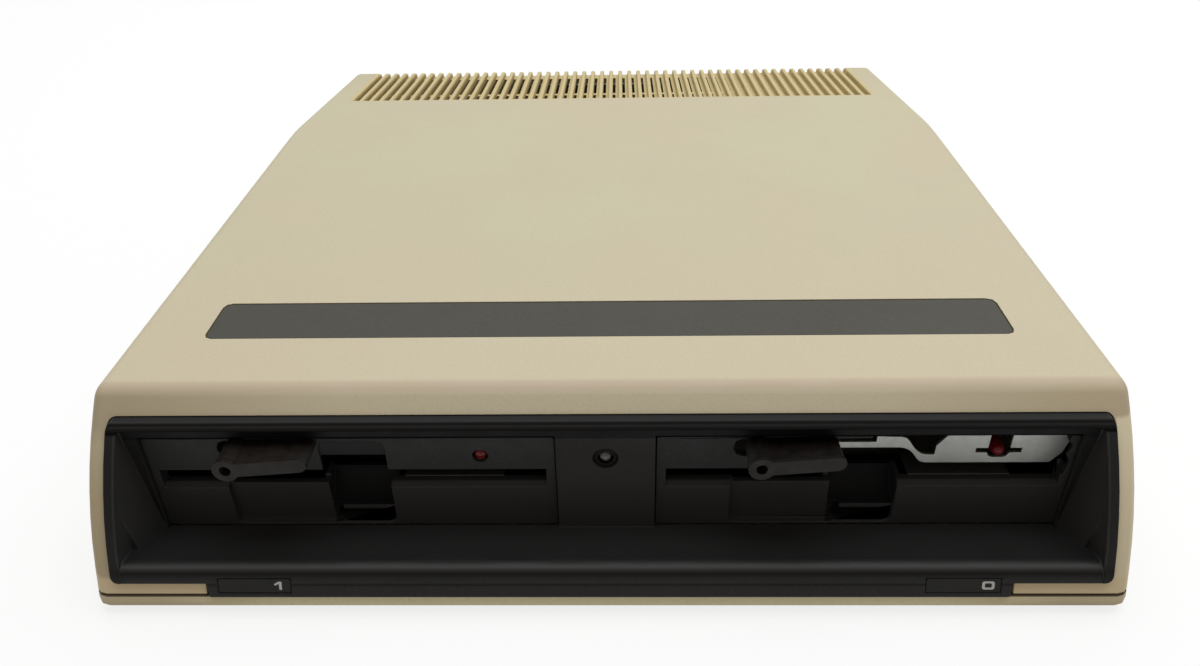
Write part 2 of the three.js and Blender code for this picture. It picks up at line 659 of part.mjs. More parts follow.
// Drive front. The lower bar carries the lever's shallow pocket and the finger notch; the upper
// bar is only a skin. On the right drive most of the upper bar has broken away.
function fascia(side, broken) {
  const half = fasciaHalfWidth;
  const bottom = driveBottom;
  const plate = alongY(roundedRect(-half, half, bottom, driveTop, 0.8), 0, fasciaThickness);
  const scoopBack = scoop.centreY + scoop.radius + scoop.wall;
  const scoopBlock = block(
    notch.left - scoop.wall, notch.right + scoop.wall, fasciaThickness - 1, scoopBack,
    notch.bottom, diskSlot.bottom,
  );
  const behind = fasciaThickness + 1;
  const hollowBack = block(-half + 2, half - 2, upperSkin, behind, diskSlot.top, driveTop - 1.2);
  const slot = alongX([
    [-1, diskSlot.bottom - diskSlot.bevelDrop * (1 + 1 / diskSlot.bevelDepth)],
    [diskSlot.bevelDepth, diskSlot.bottom],
    [scoopBack + 1, diskSlot.bottom], [scoopBack + 1, diskSlot.top], [-1, diskSlot.top],
  ], -slotHalfWidth, slotHalfWidth);
  const pocketEnd = pocket.right + pocket.round + 1;
  const pocketCut = alongY(
    roundedRect(pocket.left, pocketEnd, pocket.bottom, diskSlot.top - 1, pocket.round),
    -1, pocket.depth,
  );
  const pocketSill = block(
    pocket.left + 1, pocketEnd, -1, behind, pocket.sill, diskSlot.bottom + 1,
  );
  const bossRecess = alongY(roundedRect(
    leverX - bossHole.side, leverX + bossHole.side, leverZ - bossHole.below, pocket.top,
    bossHole.round,
  ), -1, behind);
  const shaftHole = alongY(circle(leverX, leverZ, shaftRadius + seatGap), -1, behind);
  const notchOutline = roundedRect(notch.left, notch.right, notch.bottom, notch.top, notch.round);
  const notchUpper = alongY(notchOutline, -1, upperSkin / 2);
  const notchGap = block(notch.left, notch.right, -1, behind, diskSlot.top - 1, ledZ);
  const scoopRing = circle(scoop.centreY, scoop.centreZ, scoop.radius, 28);
  const scoopCut = alongX(scoopRing, notch.left, notch.right);
  const sillTop = scoop.centreZ - scoop.radius - 1.6;
  const sill = alongY(
    roundedRect(notch.left + 1.5, notch.right - 0.8, notch.bottom + 0.6, sillTop, 2), -1, behind + 3,
  );
  const notchLower = alongY(notchOutline, -1, 0.9);
  const ledHole = alongY(circle(ledX, ledZ, ledRadius + 0.4), -1, fasciaThickness);
  const cuts = [
    shaftHole, slot, hollowBack, pocketCut, pocketSill, bossRecess, notchUpper, notchGap,
    scoopCut, sill, notchLower, ledHole,
  ];
  if (broken) {
    const top = driveTop + 1;
    const low = diskSlot.top - 3;
    cuts.push(alongY([
      [leverX, low], [half - 2.6, low], [half - 1.6, 40], [half - 3.4, 43], [half - 2, 47],
      [half - 4.2, 49.6], [half - 3, top], [notch.right - 11, top], [notch.right - 11.5, 51],
      [leverX, pocket.top - 1],
    ], -1, upperSkin + 3));
  }
  return mesh(`fascia_${side}`, fasciaBlack, plate.add(scoopBlock).subtract(joined(cuts)));
}

// Zinc-plated sheet bracket behind the upper bar, with the light's slot and an S-shaped web.
function frontBracket(side) {
  const half = fasciaHalfWidth - seatGap - 2.2;
  const low = diskSlot.top + 0.8;
  const top = driveTop - 1.5;
  const outline = [
    [pocket.right - 1, 45.2], [11.9, 45.2], [13.6, 44.9], [15.2, 44.1], [16.5, 43],
    [17.7, 41.4], [18.8, 39.8], [20, 38.8], [21.8, low],
    [half - 5, low], [half - 1.5, 43], [half, 48.5], [half, top],
    [27.8, top], [24.5, 45.9], [24.5, 41.9], [21.6, 42], [20, 42.4], [18.7, 43.3],
    [17.4, 44.6], [16.2, 46.2], [15.2, 47.9], [13.9, 49.3], [12.2, 50],
    [3.6, 50.3], [3.6, 47.8], [pocket.right - 1, 47.8],
  ];
  const plate = alongY(outline, bracketFront, bracketFront + bracketThickness);
  const cuts = joined([
    alongY(roundedRect(ledX - 3.7, ledX + 3.8, ledZ - 2.9, top + 4, 2), 0, 6),
    block(ledX - 7.8, ledX + 8, 0, 6, ledZ - 0.8, ledZ + 1.2),
  ]);
  return mesh(`front_bracket_${side}`, zinc, plate.subtract(cuts));
}

function activityLed(side) {
  const tail = 7.5;
  const profile = [[0, 0], [1, 0.2], [1.8, 0.8], [ledRadius, 1.9], [ledRadius, tail], [0, tail]];
  const geometry = new THREE.LatheGeometry(profile.map(([r, y]) => new THREE.Vector2(r, y)), 12);
  return mesh(`activity_led_${side}`, redLens, solid(geometry.translate(ledX, ledTipY, ledZ)));
}

// Lever outline round a boss at the origin and a tip out along +X, the same points at each depth.
function leverRing(boss, tip, drop, y) {
  const ring = [];
  const neck = Math.asin(tip / boss);
  const steps = 14;
  for (let k = 0; k <= steps; k += 1) {
    const angle = neck + 2 * (Math.PI - neck) * k / steps;
    ring.push([boss * Math.cos(angle), y, boss * Math.sin(angle)]);
  }
  const tipSteps = 8;
  for (let k = 0; k <= tipSteps; k += 1) {
    const angle = Math.PI * (k / tipSteps - 0.5);
    ring.push([leverArm + tip * Math.cos(angle), y, tip * Math.sin(angle) - drop]);
  }
  return ring;
}

function lever(side) {
  const back = -seatGap - 0.1;
  const body = lofted([
    leverRing(leverBoss - 0.3, leverTip - 0.3, 0.4, leverPlate - leverDepth),
    leverRing(leverBoss - 0.5, leverTip - 0.5, 1.1, back),
  ]);
  const plate = lofted([
    leverRing(leverBoss, leverTip, 0, -leverDepth),
    leverRing(leverBoss, leverTip, 0, leverPlate - leverDepth + 0.1),
  ]);
  const cuts = joined([
    alongY(circle(0, 0, leverHole, 12), -leverDepth - 1, 6 - leverDepth),
    alongY(circle(0, 0, shaftRadius + seatGap, 12), 7.5 - leverDepth, 1),
  ]);
  return mesh(`lever_${side}`, leverGrey, plate.add(body).subtract(cuts));
}

function leverShaft(side) {
  const shaft = alongY(circle(0, 0, shaftRadius, 12), 7.9 - leverDepth, shaftRear);
  const cam = alongY(roundedOutline([
    [-4, -4, 3.4], [camLength, -2.4, 1.9], [camLength, 2.4, 1.9], [-4, 4, 3.4],
  ]), camY, shaftRear - 2);
  return mesh(`lever_shaft_${side}`, steel, shaft.add(cam));
}

// Die-cast chassis: side rails, a deck with spindle bore and head slot, guides and hinge ears.
function chassis(side) {
  const outer = fasciaHalfWidth;
  const inner = outer - railThickness;
  const front = fasciaThickness + seatGap;
  const lugFront = bracketFront + bracketThickness + seatGap;
  const body = [
    block(-outer, -inner, front, chassisRear, driveBottom, chassisTop),
    block(inner, outer, front, chassisRear, driveBottom, chassisTop),
    block(-inner - 1, inner + 1, 16, chassisRear, deckBottom, deckTop),
    block(-inner - 1, inner + 1, chassisRear - railThickness, chassisRear, 15, 44),
    block(-inner - 1, 9 - inner, 6, 150, deckBottom, diskSlot.bottom - seatGap),
    block(inner - 9, inner + 1, 6, 150, deckBottom, diskSlot.bottom - seatGap),
    block(-inner - 1, 5 - inner, 8, 140, diskSlot.top + 0.4, diskSlot.top + 2),
    block(inner - 5, inner + 1, 8, 140, diskSlot.top + 0.4, diskSlot.top + 2),
  ];
  [-1, 1].forEach((way) => {
    const strut = [way * (railOffset - 4), way * (railOffset + 4)];
    body.push(
      mirroredBlock(way * (inner - 4), way * (inner + 0.5), lugFront, front + 3, ledZ - 4, chassisTop),
      mirroredBlock(way * 37, way * 40, clampHingeY - 5, clampHingeY + 5, deckTop - 1, clampHingeZ + 4),
      mirroredBlock(...strut, 90.4, 93.4, railZ - 4, deckBottom + 1),
      mirroredBlock(...strut, 187, 190, railZ - 4, deckBottom + 1),
    );
  });
  const cuts = joined([
    alongZ(circle(0, spindleY, 8), deckBottom - 1, deckTop + 1),
    block(-8, 8, 98, 178, deckBottom - 1, deckTop + 1),
    alongZ(circle(pulleyX, pulleyY, 3.5, 8), deckBottom - 1, deckTop + 1),
    alongX(circle(clampHingeY, clampHingeZ, clampPin + seatGap, 8), -42, 42),
    ...[-railOffset, railOffset].map((x) => alongY(circle(x, railZ, railRadius + seatGap, 8), 88, 192)),
    block(-50, 50, chassisRear - 5, chassisRear + 1, 30, 45),
  ]);
  return mesh(`chassis_${side}`, castAlloy, joined(body).subtract(cuts));
}

function spindleMotor(side) {
  const bottom = driveBottom + boardThickness + 1 + seatGap;
  return mesh(`spindle_motor_${side}`, varnishedIron, turned([
    [2.8, bottom], [rotorRadius - 1, bottom], [rotorRadius, bottom + 1], [rotorRadius, 19.2],
    [rotorRadius - 1, 20.2], [2.8, 20.2], [2.8, bottom],
  ], 0, spindleY, 12));
}

// Rotor, neck and hub turn as one piece. The hub's rim takes the disk's centre hole.
function spindleHub(side) {
  return mesh(`spindle_hub_${side}`, castAlloy, turned([
    [0, 16], [2.4, 16], [2.4, 20.9], [rotorRadius, 20.9], [rotorRadius, 24.6], [6, 25], [6, deckTop + 0.4],
    [hubRadius, deckTop + 0.4], [hubRadius, hubTop - 0.5], [hubRadius - 0.5, hubTop], [hubBore, hubTop],
    [hubBore - 0.6, hubTop - 1.5], [0, hubTop - 1.5],
  ], 0, spindleY, 12));
}

// Clamp arm, drawn in its closed, level place. It is lifted at rest because the levers are open.
function clampArm(side) {
  const bottom = 37.2;
  const top = 38.8;
  const frame = alongZ(roundedRect(-33, 33, 50, clampHingeY - 4, 6), bottom, top);
  const gap = alongZ(roundedRect(-24, 24, 92, clampHingeY - 12, 4), bottom - 1, top + 1);
  const web = block(-41, -20, 48, 56, bottom, top);
  const drop = block(-41, -35, 46.4, 48.2, 35, top);
  const tab = block(-41, -35, 36, 48.2, 34.4, 36);
  const barrel = alongX(circle(clampHingeY, clampHingeZ, 3, 10), -35.4, 35.4);
  const neck = block(-33, 33, clampHingeY - 6, clampHingeY, bottom, top);
  const pins = alongX(circle(clampHingeY, clampHingeZ, clampPin, 8), -39.6, 39.6);
  const bore = alongZ(circle(0, spindleY, 3.3, 10), bottom - 1, top + 1);
  const arm = joined([frame.subtract(gap), web, drop, tab, barrel, neck, pins]);
  return mesh(`clamp_arm_${side}`, steel, arm.subtract(bore));
}

function clampHub(side) {
  return mesh(`clamp_hub_${side}`, black, turned([
    [0, 30.2], [clampNose - 2, 30.2], [clampNose, 32.4], [clampRing, 32.6], [clampRing, 35], [5, 36.8],
    [3, 36.8], [3, 39.1], [4.6, 39.1], [4.6, 40.6], [0, 40.6],
  ], 0, spindleY, 12));
}

// Head carriage on its two rods, with the lower head, a rear riser and the band's side plate.
function headCarriage(side) {
  const rear = headY + 45;
  const top = railZ + 4.1;
  const plate = pulleyX - pulleyRadius - 0.5;
  const body = joined([
    block(-22, 22, headY - 13, headY + 13, railZ - 3.6, top),
    block(-11, 11, headY, rear, railZ - 2, top),
    block(-6, 6, headY - 4, headY + 4, top - 0.1, hubTop - 0.3),
    block(-6, 6, rear - 8, rear, top - 0.1, 40.4),
    block(10, plate - 0.1, headY + 22, headY + 30, railZ + railRadius + seatGap, top),
    block(plate - 1.3, plate, headY + 12, headY + 48, railZ - 3, top),
  ]);
  const bores = joined([-railOffset, railOffset].map((x) =>
    alongY(circle(x, railZ, railRadius + seatGap, 8), headY - 20, headY + 20)));
  return mesh(`head_carriage_${side}`, castAlloy, body.subtract(bores));
}

function upperHeadArm(side) {
  const rear = headY + 45;
  const arm = alongZ(roundedOutline([
    [-5, headY - 6, 2], [5, headY - 6, 2], [7, rear, 1], [-7, rear, 1],
  ]), 40.7, 43);
  const head = turned([[0, 38], [3.4, 38], [4, 38.6], [4, 41], [0, 41]], 0, headY, 10);
  return mesh(`upper_head_arm_${side}`, black, arm.add(head));
}

function guideRod(side, way) {
  return mesh(`guide_rod_${side}_${way < 0 ? 'a' : 'b'}`, steel,
    alongY(circle(way * railOffset, railZ, railRadius, 8), 90, 190.4));
}

function stepperMotor(side) {
  const base = deckTop + seatGap;
  return mesh(`stepper_motor_${side}`, varnishedIron, turned([
    [3, base], [stepperRadius - 1, base], [stepperRadius, base + 1],
    [stepperRadius, base + 14], [stepperRadius - 1, base + 15], [6, base + 15],
    [6, base + 16.5], [0, base + 16.5], [0, base + 6], [3, base + 6], [3, base],
  ], pulleyX, pulleyY, 12));
}

function bandPulley(side) {
  return mesh(`band_pulley_${side}`, castAlloy, turned([
    [0, railZ - 4], [pulleyRadius, railZ - 4], [pulleyRadius, railZ + 4], [2, railZ + 4],
    [2, deckTop + 5], [0, deckTop + 5],
  ], pulleyX, pulleyY, 12));
}

// Drive board under the mechanism, with its edge connector at the back.
function driveBoard(side) {
  const half = fasciaHalfWidth - railThickness - seatGap;
  const bottom = driveBottom + 0.7;
  const board = block(-half, half, 20, chassisRear - 6, bottom, bottom + boardThickness);
  const edge = block(-32, 32, chassisRear - 7, chassisRear + 5, bottom, bottom + boardThickness);
  const chips = [[-50, 30], [-50, 60], [-52, 95], [-52, 130], [46, 34], [46, 112]].map(([x, y]) =>
    block(x - 4, x + 4, y - 10, y + 10, bottom + 1, bottom + boardThickness + 3.4));
  return mesh(`drive_board_${side}`, circuitBoard, joined([board, edge, ...chips]));
}

function drive(side, x, broken) {
  const group = new THREE.Group();
  group.position.x = x;
  const knob = new THREE.Group();
  knob.position.set(leverX, 0, leverZ);
  knob.rotation.y = -leverTilt;
  knob.add(lever(side), leverShaft(side));
  const clamp = new THREE.Group();
  clamp.position.set(0, clampHingeY, clampHingeZ);
  clamp.rotation.x = -clampLift;
  const closed = new THREE.Group();
  closed.position.set(0, -clampHingeY, -clampHingeZ);
  closed.add(clampArm(side), clampHub(side));
  clamp.add(closed);
  group.add(
    fascia(side, broken), frontBracket(side), activityLed(side), knob, clamp, chassis(side),
    spindleMotor(side), spindleHub(side), headCarriage(side), upperHeadArm(side),
    guideRod(side, -1), guideRod(side, 1), stepperMotor(side), bandPulley(side), driveBoard(side),
  );
  return group;
}

// Steel rear panel inside the case's rear opening. The connectors stand in its holes.
function rearPanel() {
  const bottom = footHeight + trayFloor + seatGap;
  const top = slopeZ(panelY) - grooveDepth - ventFloor - 1;
  const half = caseWidth / 2 - 5;
  const plate = block(-half, half, panelY, panelY + panelThickness, bottom, top);
  const y0 = panelY - 1;
  const y1 = panelY + panelThickness + 1;
  const holes = joined([
    connectorBox(inletX, 13.8, 10, 2, y0, y1),
    alongY(circle(fuseX, connectorZ, 6.3), y0, y1),
    connectorBox(switchX, 6.8, 10, 0.6, y0, y1),
    connectorBox(dataX, 25, 6, 1.5, y0, y1),
  ]);
  return mesh('rear_panel', zinc, plate.subtract(holes));
}

// A rounded box round a connector's centre, along Y.
function connectorBox(x, halfWidth, halfHeight, round, y0, y1) {
  const outline = roundedRect(
    x - halfWidth, x + halfWidth, connectorZ - halfHeight, connectorZ + halfHeight, round,
  );
  return alongY(outline, y0, y1);
}

function mainsInlet() {
  const face = connectorFace;
  const flange = connectorBox(inletX, 20, 12, 4, face, face + 3);
  const body = connectorBox(inletX, 13.5, 9.7, 2, face - 22, face + 1);
  const cavity = alongY(roundedOutline([
    [inletX - 12, connectorZ - 8, 1], [inletX + 12, connectorZ - 8, 1], [inletX + 12, connectorZ + 3, 1],
    [inletX + 7, connectorZ + 8, 1], [inletX - 7, connectorZ + 8, 1], [inletX - 12, connectorZ + 3, 1],
  ]), face - 14, face + 4);
  const pins = [[-7, -2], [0, 2], [7, -2]].map(([x, z]) =>
    block(inletX + x - 1, inletX + x + 1, face - 15, face - 1, connectorZ + z - 2, connectorZ + z + 2));
  return mesh('mains_inlet', black, joined([flange.add(body).subtract(cavity), ...pins]));
}

function fuseHolder() {
  const face = connectorFace;
  const cap = alongY(circle(fuseX, connectorZ, 8), face, face + 2.5);
  const knob = alongY(circle(fuseX, connectorZ, 6), face + 2, face + 10);
  const barrel = alongY(circle(fuseX, connectorZ, 6), face - 24, face + 1);
  const slit = block(fuseX - 4, fuseX + 4, face + 9, face + 11, connectorZ - 0.6, connectorZ + 0.6);
  return mesh('fuse_holder', black, joined([cap, knob, barrel]).subtract(slit));
}

function powerSwitch() {
  const face = connectorFace;
  const frame = connectorBox(switchX, 8, 11.5, 1, face, face + 2);
  const body = connectorBox(switchX, 6.5, 9.7, 0, face - 18, face + 1);
  const well = connectorBox(switchX, 5.4, 8.6, 0, face - 8, face + 3);
  return mesh('power_switch', black, frame.add(body).subtract(well));
}

// Rocker with two flats that meet at the middle. Its pivot runs along X.
const rockerPivotY = connectorFace - 2.5;
const rockerTilt = THREE.MathUtils.degToRad(9);

function powerRocker() {
  const rocker = alongX(roundedOutline([
    [-4, -6.4, 1], [2.4, -7.2, 0.6], [4.4, 0, 12], [2.4, 7.2, 0.6], [-4, 6.4, 1],
  ], 3), -5, 5);
  const piece = mesh('power_rocker', leverGrey, rocker);
  piece.position.set(switchX, rockerPivotY, connectorZ);
  piece.rotation.x = rockerTilt;
  return piece;
}

// Ribbon-style data socket: a D-shaped shell with a tongue that carries the contacts.
function dataSocket() {
  const face = connectorFace;
  const flange = connectorBox(dataX, 34, 7.5, 1.5, face, face + 1.6);
  const shell = alongY(roundedOutline([
    [dataX - 21, connectorZ - 5.6, 2], [dataX + 21, connectorZ - 5.6, 2],
    [dataX + 24, connectorZ + 5.6, 2], [dataX - 24, connectorZ + 5.6, 2],
  ]), face - 12, face + 7);
  const cavity = alongY(roundedOutline([
    [dataX - 20, connectorZ - 4.6, 1.5], [dataX + 20, connectorZ - 4.6, 1.5],
    [dataX + 23, connectorZ + 4.6, 1.5], [dataX - 23, connectorZ + 4.6, 1.5],
  ]), face - 5, face + 8);
  const tongue = connectorBox(dataX, 17.5, 1.7, 0, face - 6, face + 6);
  return mesh('data_socket', aluminium, flange.add(shell).subtract(cavity).add(tongue));
}

// A block on the supply's board, placed from the board's front left corner.
function onSupply(x0, x1, y0, y1, z0, z1) {
  return block(x0 - boardEdge, x1 - boardEdge, boardFront + y0, boardFront + y1, z0, z1);
}

function powerBoard() {
  return mesh('power_board', circuitBoard, joined([
    onSupply(0, supplyWidth, 0, 80, boardZ, boardZ + boardThickness),
    onSupply(14, 32, 52, 74, boardZ + 1, boardZ + 16),
    onSupply(40, 64, 58, 74, boardZ + 1, boardZ + 14),
    onSupply(94, 104, 4, 22, boardZ + 1, boardZ + 12),
  ]));
}

function heatSink() {
  const bottom = boardZ + boardThickness + seatGap;
  const top = 50;
  const pieces = [onSupply(8, 64, 12, 15, bottom, top)];
  for (let k = 0; k < 9; k += 1) {
    const x = 9 + 6.6 * k;
    pieces.push(onSupply(x, x + 1.6, 14, 34, bottom, top));
  }
  return mesh('heat_sink', aluminium, joined(pieces));
}

function filterCapacitor() {
  const bottom = boardZ + boardThickness + seatGap;
  return mesh('filter_capacitor', stripGrey, turned([
    [0, bottom], [12, bottom], [12, 46], [11.2, 47], [9, 46.4], [0, 46.4],
  ], 80 - boardEdge, boardFront + 40, 12));
}

// Laminated mains transformer on its frame, behind the supply's board.
function transformer() {
  const bottom = boardZ;
  const winding = alongZ(roundedRect(
    18 - boardEdge, 60 - boardEdge, boardFront + 83, boardFront + 143, 8,
  ), bottom + 7, 38);
  return mesh('transformer', varnishedIron, joined([
    onSupply(8, 70, 90, 136, bottom, 44),
    winding,
    onSupply(4, 74, 88, 138, bottom, bottom + 2),
  ]));
}

function logicBoard() {
  const left = supplyRight + 4;
  const pieces = [block(left, boardEdge, boardFront, boardRear, boardZ, boardZ + boardThickness)];
  for (let row = 0; row < 3; row += 1) {
    for (let column = 0; column < 5; column += 1) {
      const x = left + 20 + 44 * column;
      const y = boardFront + 22 + 44 * row;
      pieces.push(block(x - 7.5, x + 7.5, y - 18, y + 18, boardZ + 1, boardZ + 5.4));
    }
  }
  return mesh('logic_board', circuitBoard, joined(pieces));
}

// The origin is the middle of the footprint, on the desk.
const foremost = frontY(lipBottom) - bezelProud / Math.cos(Math.atan(frontLean));
const floppyDrive = new THREE.Group();
floppyDrive.position.y = -(foremost + caseRear) / 2;
floppyDrive.add(
  topCover(), baseTray(), nameStrip(), frontBezel(), powerLed(), ...feet(), ...caseScrews(),
  driveCradle(),
  drive('left', -driveX, false), drive('right', driveX, true),
  rearPanel(), mainsInlet(), fuseHolder(), powerSwitch(), powerRocker(), dataSocket(),
  powerBoard(), heatSink(), filterCapacitor(), transformer(), logicBoard(),
);

export default floppyDrive;
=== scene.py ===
import math

import bmesh
import bpy
from mathutils import Matrix, Vector


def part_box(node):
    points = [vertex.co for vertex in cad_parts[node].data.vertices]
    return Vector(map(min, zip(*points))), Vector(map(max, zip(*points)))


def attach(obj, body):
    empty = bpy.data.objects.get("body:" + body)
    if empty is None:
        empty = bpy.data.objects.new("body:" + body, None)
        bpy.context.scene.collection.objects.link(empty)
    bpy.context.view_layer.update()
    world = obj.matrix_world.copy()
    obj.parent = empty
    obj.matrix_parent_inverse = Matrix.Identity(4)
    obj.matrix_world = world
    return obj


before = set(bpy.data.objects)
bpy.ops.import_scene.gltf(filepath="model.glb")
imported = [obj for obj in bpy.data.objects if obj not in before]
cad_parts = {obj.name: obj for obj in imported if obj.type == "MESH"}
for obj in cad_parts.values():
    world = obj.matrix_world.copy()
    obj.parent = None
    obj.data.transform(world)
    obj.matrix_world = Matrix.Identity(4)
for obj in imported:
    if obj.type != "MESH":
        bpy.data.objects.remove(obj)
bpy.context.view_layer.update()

# Camera. It stands 0.22 m in front of the case and 0.26 m up, a little right of its middle,
# and looks down on it by 33 degrees, turned and tilted very slightly.
camera_place = (0.0057, -0.431836, 0.259626)
camera_yaw = 0.0269
camera_pitch = 0.5817
camera_roll = -0.0212
camera_data = bpy.data.cameras.new("camera")
camera_data.lens = 28.2
camera_data.sensor_width = 36
camera = bpy.data.objects.new("camera", camera_data)
bpy.context.scene.collection.objects.link(camera)
camera.matrix_world = (
    Matrix.Translation(camera_place)
    @ Matrix.Rotation(camera_yaw, 4, "Z")
    @ Matrix.Rotation(math.pi / 2 - camera_pitch, 4, "X")
    @ Matrix.Rotation(camera_roll, 4, "Z")
)
bpy.context.scene.camera = camera
bpy.context.scene.view_settings.view_transform = "Standard"


# Studio. A pale floor runs out under a white surround, and one wide soft lamp hangs above
# the case, a little to its right. The case is lit by the lamp and by the surround.
def new_material(name):
    material = bpy.data.materials.new(name)
    material.use_nodes = True
    return material, material.node_tree, material.node_tree.nodes["Principled BSDF"]


def feed(tree, socket, value):
    """Gives a socket its value: a number, a colour or the output of another node."""
    if isinstance(value, bpy.types.NodeSocket):
        tree.links.new(value, socket)
    else:
        socket.default_value = value


def calculated(tree, operation, *values):
    """The result of a maths node on numbers or sockets."""
    node = tree.nodes.new("ShaderNodeMath")
    node.operation = operation
    for value, socket in zip(values, node.inputs):
        feed(tree, socket, value)
    return node.outputs[0]


def seen_directly(tree):
    """1 for the rays that show a surface, 0 for those that only gather its light."""
    path = tree.nodes.new("ShaderNodeLightPath")
    seen = calculated(
        tree, "MAXIMUM", path.outputs["Is Camera Ray"], path.outputs["Is Glossy Ray"],
    )
    return calculated(tree, "MAXIMUM", seen, path.outputs["Is Transmission Ray"])


world = bpy.data.worlds.new("surround")
bpy.context.scene.world = world
world.use_nodes = True
world_tree = world.node_tree
surround_light = world_tree.nodes["Background"]
surround_light.inputs["Color"].default_value = (1.0, 0.93, 0.84, 1)
surround_light.inputs["Strength"].default_value = 0.34
surround_seen = world_tree.nodes.new("ShaderNodeBackground")
surround_seen.inputs["Color"].default_value = (1, 1, 1, 1)
surround_choice = world_tree.nodes.new("ShaderNodeMixShader")
camera_path = world_tree.nodes.new("ShaderNodeLightPath")
world_tree.links.new(camera_path.outputs["Is Camera Ray"], surround_choice.inputs[0])
world_tree.links.new(surround_light.outputs[0], surround_choice.inputs[1])
world_tree.links.new(surround_seen.outputs[0], surround_choice.inputs[2])
world_tree.links.new(
    surround_choice.outputs[0], world_tree.nodes["World Output"].inputs["Surface"],
)

lamp_data = bpy.data.lights.new("soft_lamp", "AREA")
lamp_data.shape = "RECTANGLE"
lamp_data.size = 2.6
lamp_data.size_y = 2.2
lamp_data.energy = 45
lamp_data.color = (0.93, 0.985, 1.0)
lamp = bpy.data.objects.new("soft_lamp", lamp_data)
lamp.location = (0.30, 0.55, 1.9)
lamp.rotation_euler = (math.radians(-16), math.radians(9), 0)
bpy.context.scene.collection.objects.link(lamp)

floor_reach = 6.0
floor_glow_share = 0.8
floor_mesh = bpy.data.meshes.new("floor")
floor_mesh.from_pydata(
    [(-floor_reach, -floor_reach, 0), (floor_reach, -floor_reach, 0),
     (floor_reach, floor_reach, 0), (-floor_reach, floor_reach, 0)],
    [], [(0, 1, 2, 3)],
)
floor = bpy.data.objects.new("floor", floor_mesh)
bpy.context.scene.collection.objects.link(floor)
floor_paint, floor_tree, floor_shader = new_material("floor_paint")
floor_shader.inputs["Roughness"].default_value = 0.9
floor_shader.inputs["Specular IOR Level"].default_value = 0.1
floor_tone = floor_tree.nodes.new("ShaderNodeMix")
floor_tone.data_type = "RGBA"
floor_tone.inputs["A"].default_value = (0.46, 0.41, 0.35, 1)
floor_tone.inputs["B"].default_value = (0.98, 0.98, 0.98, 1)
floor_tree.links.new(seen_directly(floor_tree), floor_tone.inputs["Factor"])
floor_tree.links.new(floor_tone.outputs["Result"], floor_shader.inputs["Base Color"])
floor_glow = floor_tree.nodes.new("ShaderNodeEmission")
floor_glow.inputs["Color"].default_value = (1, 1, 1, 1)
floor_share = calculated(floor_tree, "MULTIPLY", seen_directly(floor_tree), floor_glow_share)
floor_blend = floor_tree.nodes.new("ShaderNodeMixShader")
floor_tree.links.new(floor_share, floor_blend.inputs[0])
floor_tree.links.new(floor_shader.outputs[0], floor_blend.inputs[1])
floor_tree.links.new(floor_glow.outputs[0], floor_blend.inputs[2])
floor_tree.links.new(
    floor_blend.outputs[0], floor_tree.nodes["Material Output"].inputs["Surface"],
)
floor_mesh.materials.append(floor_paint)


# Base tray. A shallow moulded shell in beige ABS that carries everything. Its fine spark
# texture comes from the mould, and the colour has aged unevenly. The middle of its front
# is painted lighter as painted light, and its seam under the cover is a brown painted shade.
def noise(tree, scale, detail, stretch=(1, 1, 1), seed=0.0):
    where = tree.nodes.new("ShaderNodeTexCoord")
    mapping = tree.nodes.new("ShaderNodeMapping")
    mapping.inputs["Scale"].default_value = stretch
    mapping.inputs["Location"].default_value = (seed, seed, seed)
    tree.links.new(where.outputs["Object"], mapping.inputs["Vector"])
    texture = tree.nodes.new("ShaderNodeTexNoise")
    texture.inputs["Scale"].default_value = scale
    texture.inputs["Detail"].default_value = detail
    tree.links.new(mapping.outputs["Vector"], texture.inputs["Vector"])
    return texture.outputs["Fac"]


def ranged(tree, value, low, high, start=0.3, end=0.7):
    """Spreads the part of a value between start and end over low to high."""
    node = tree.nodes.new("ShaderNodeMapRange")
    node.inputs["From Min"].default_value = start
    node.inputs["From Max"].default_value = end
    node.inputs["To Min"].default_value = low
    node.inputs["To Max"].default_value = high
    tree.links.new(value, node.inputs["Value"])
    return node.outputs["Result"]


def blended(tree, factor, first, second):
    """Mixes two colours, each given as three numbers or as a socket."""
    node = tree.nodes.new("ShaderNodeMix")
    node.data_type = "RGBA"
    tree.links.new(factor, node.inputs["Factor"])
    for colour, socket in ((first, node.inputs["A"]), (second, node.inputs["B"])):
        feed(tree, socket, (*colour, 1) if isinstance(colour, tuple) else colour)
    return node.outputs["Result"]


def layered(tree, tone, layers):
    """Lays colours over a tone in turn. Each layer is how much of it shows, and its colour."""
    for share, colour in layers:
        tone = blended(tree, share, tone, colour)
    return tone


def clouded(tree, scale, first, second, detail=3):
    """Two colours that pass slowly into each other."""
    return blended(tree, ranged(tree, noise(tree, scale, detail), 0, 1), first, second)


def specks(tree, scale, most):
    """The share of fine specks in a plastic, from 0 up to most."""
    return ranged(tree, noise(tree, scale, 2, seed=3.1), 0, most, 0.45, 0.75)


def product(tree, *values):
    """Multiplies values together."""
    total = values[0]
    for value in values[1:]:
        total = calculated(tree, "MULTIPLY", total, value)
    return total


def coordinate(tree, axis, source="Object"):
    """A place along an axis of the object, or the outward direction's part along it."""
    where = tree.nodes.new("ShaderNodeTexCoord")
    split = tree.nodes.new("ShaderNodeSeparateXYZ")
    tree.links.new(where.outputs[source], split.inputs[0])
    return split.outputs[axis]


def inside(tree, limits, soft=0.0003, source="Object"):
    """1 within every one of the limits, each an axis with its low and high end, else 0."""
    parts = []
    for axis, low, high in limits:
        place = coordinate(tree, axis, source)
        parts.append(ranged(tree, place, 0, 1, low - soft, low + soft))
        parts.append(ranged(tree, place, 0, 1, high + soft, high - soft))
    return product(tree, *parts)


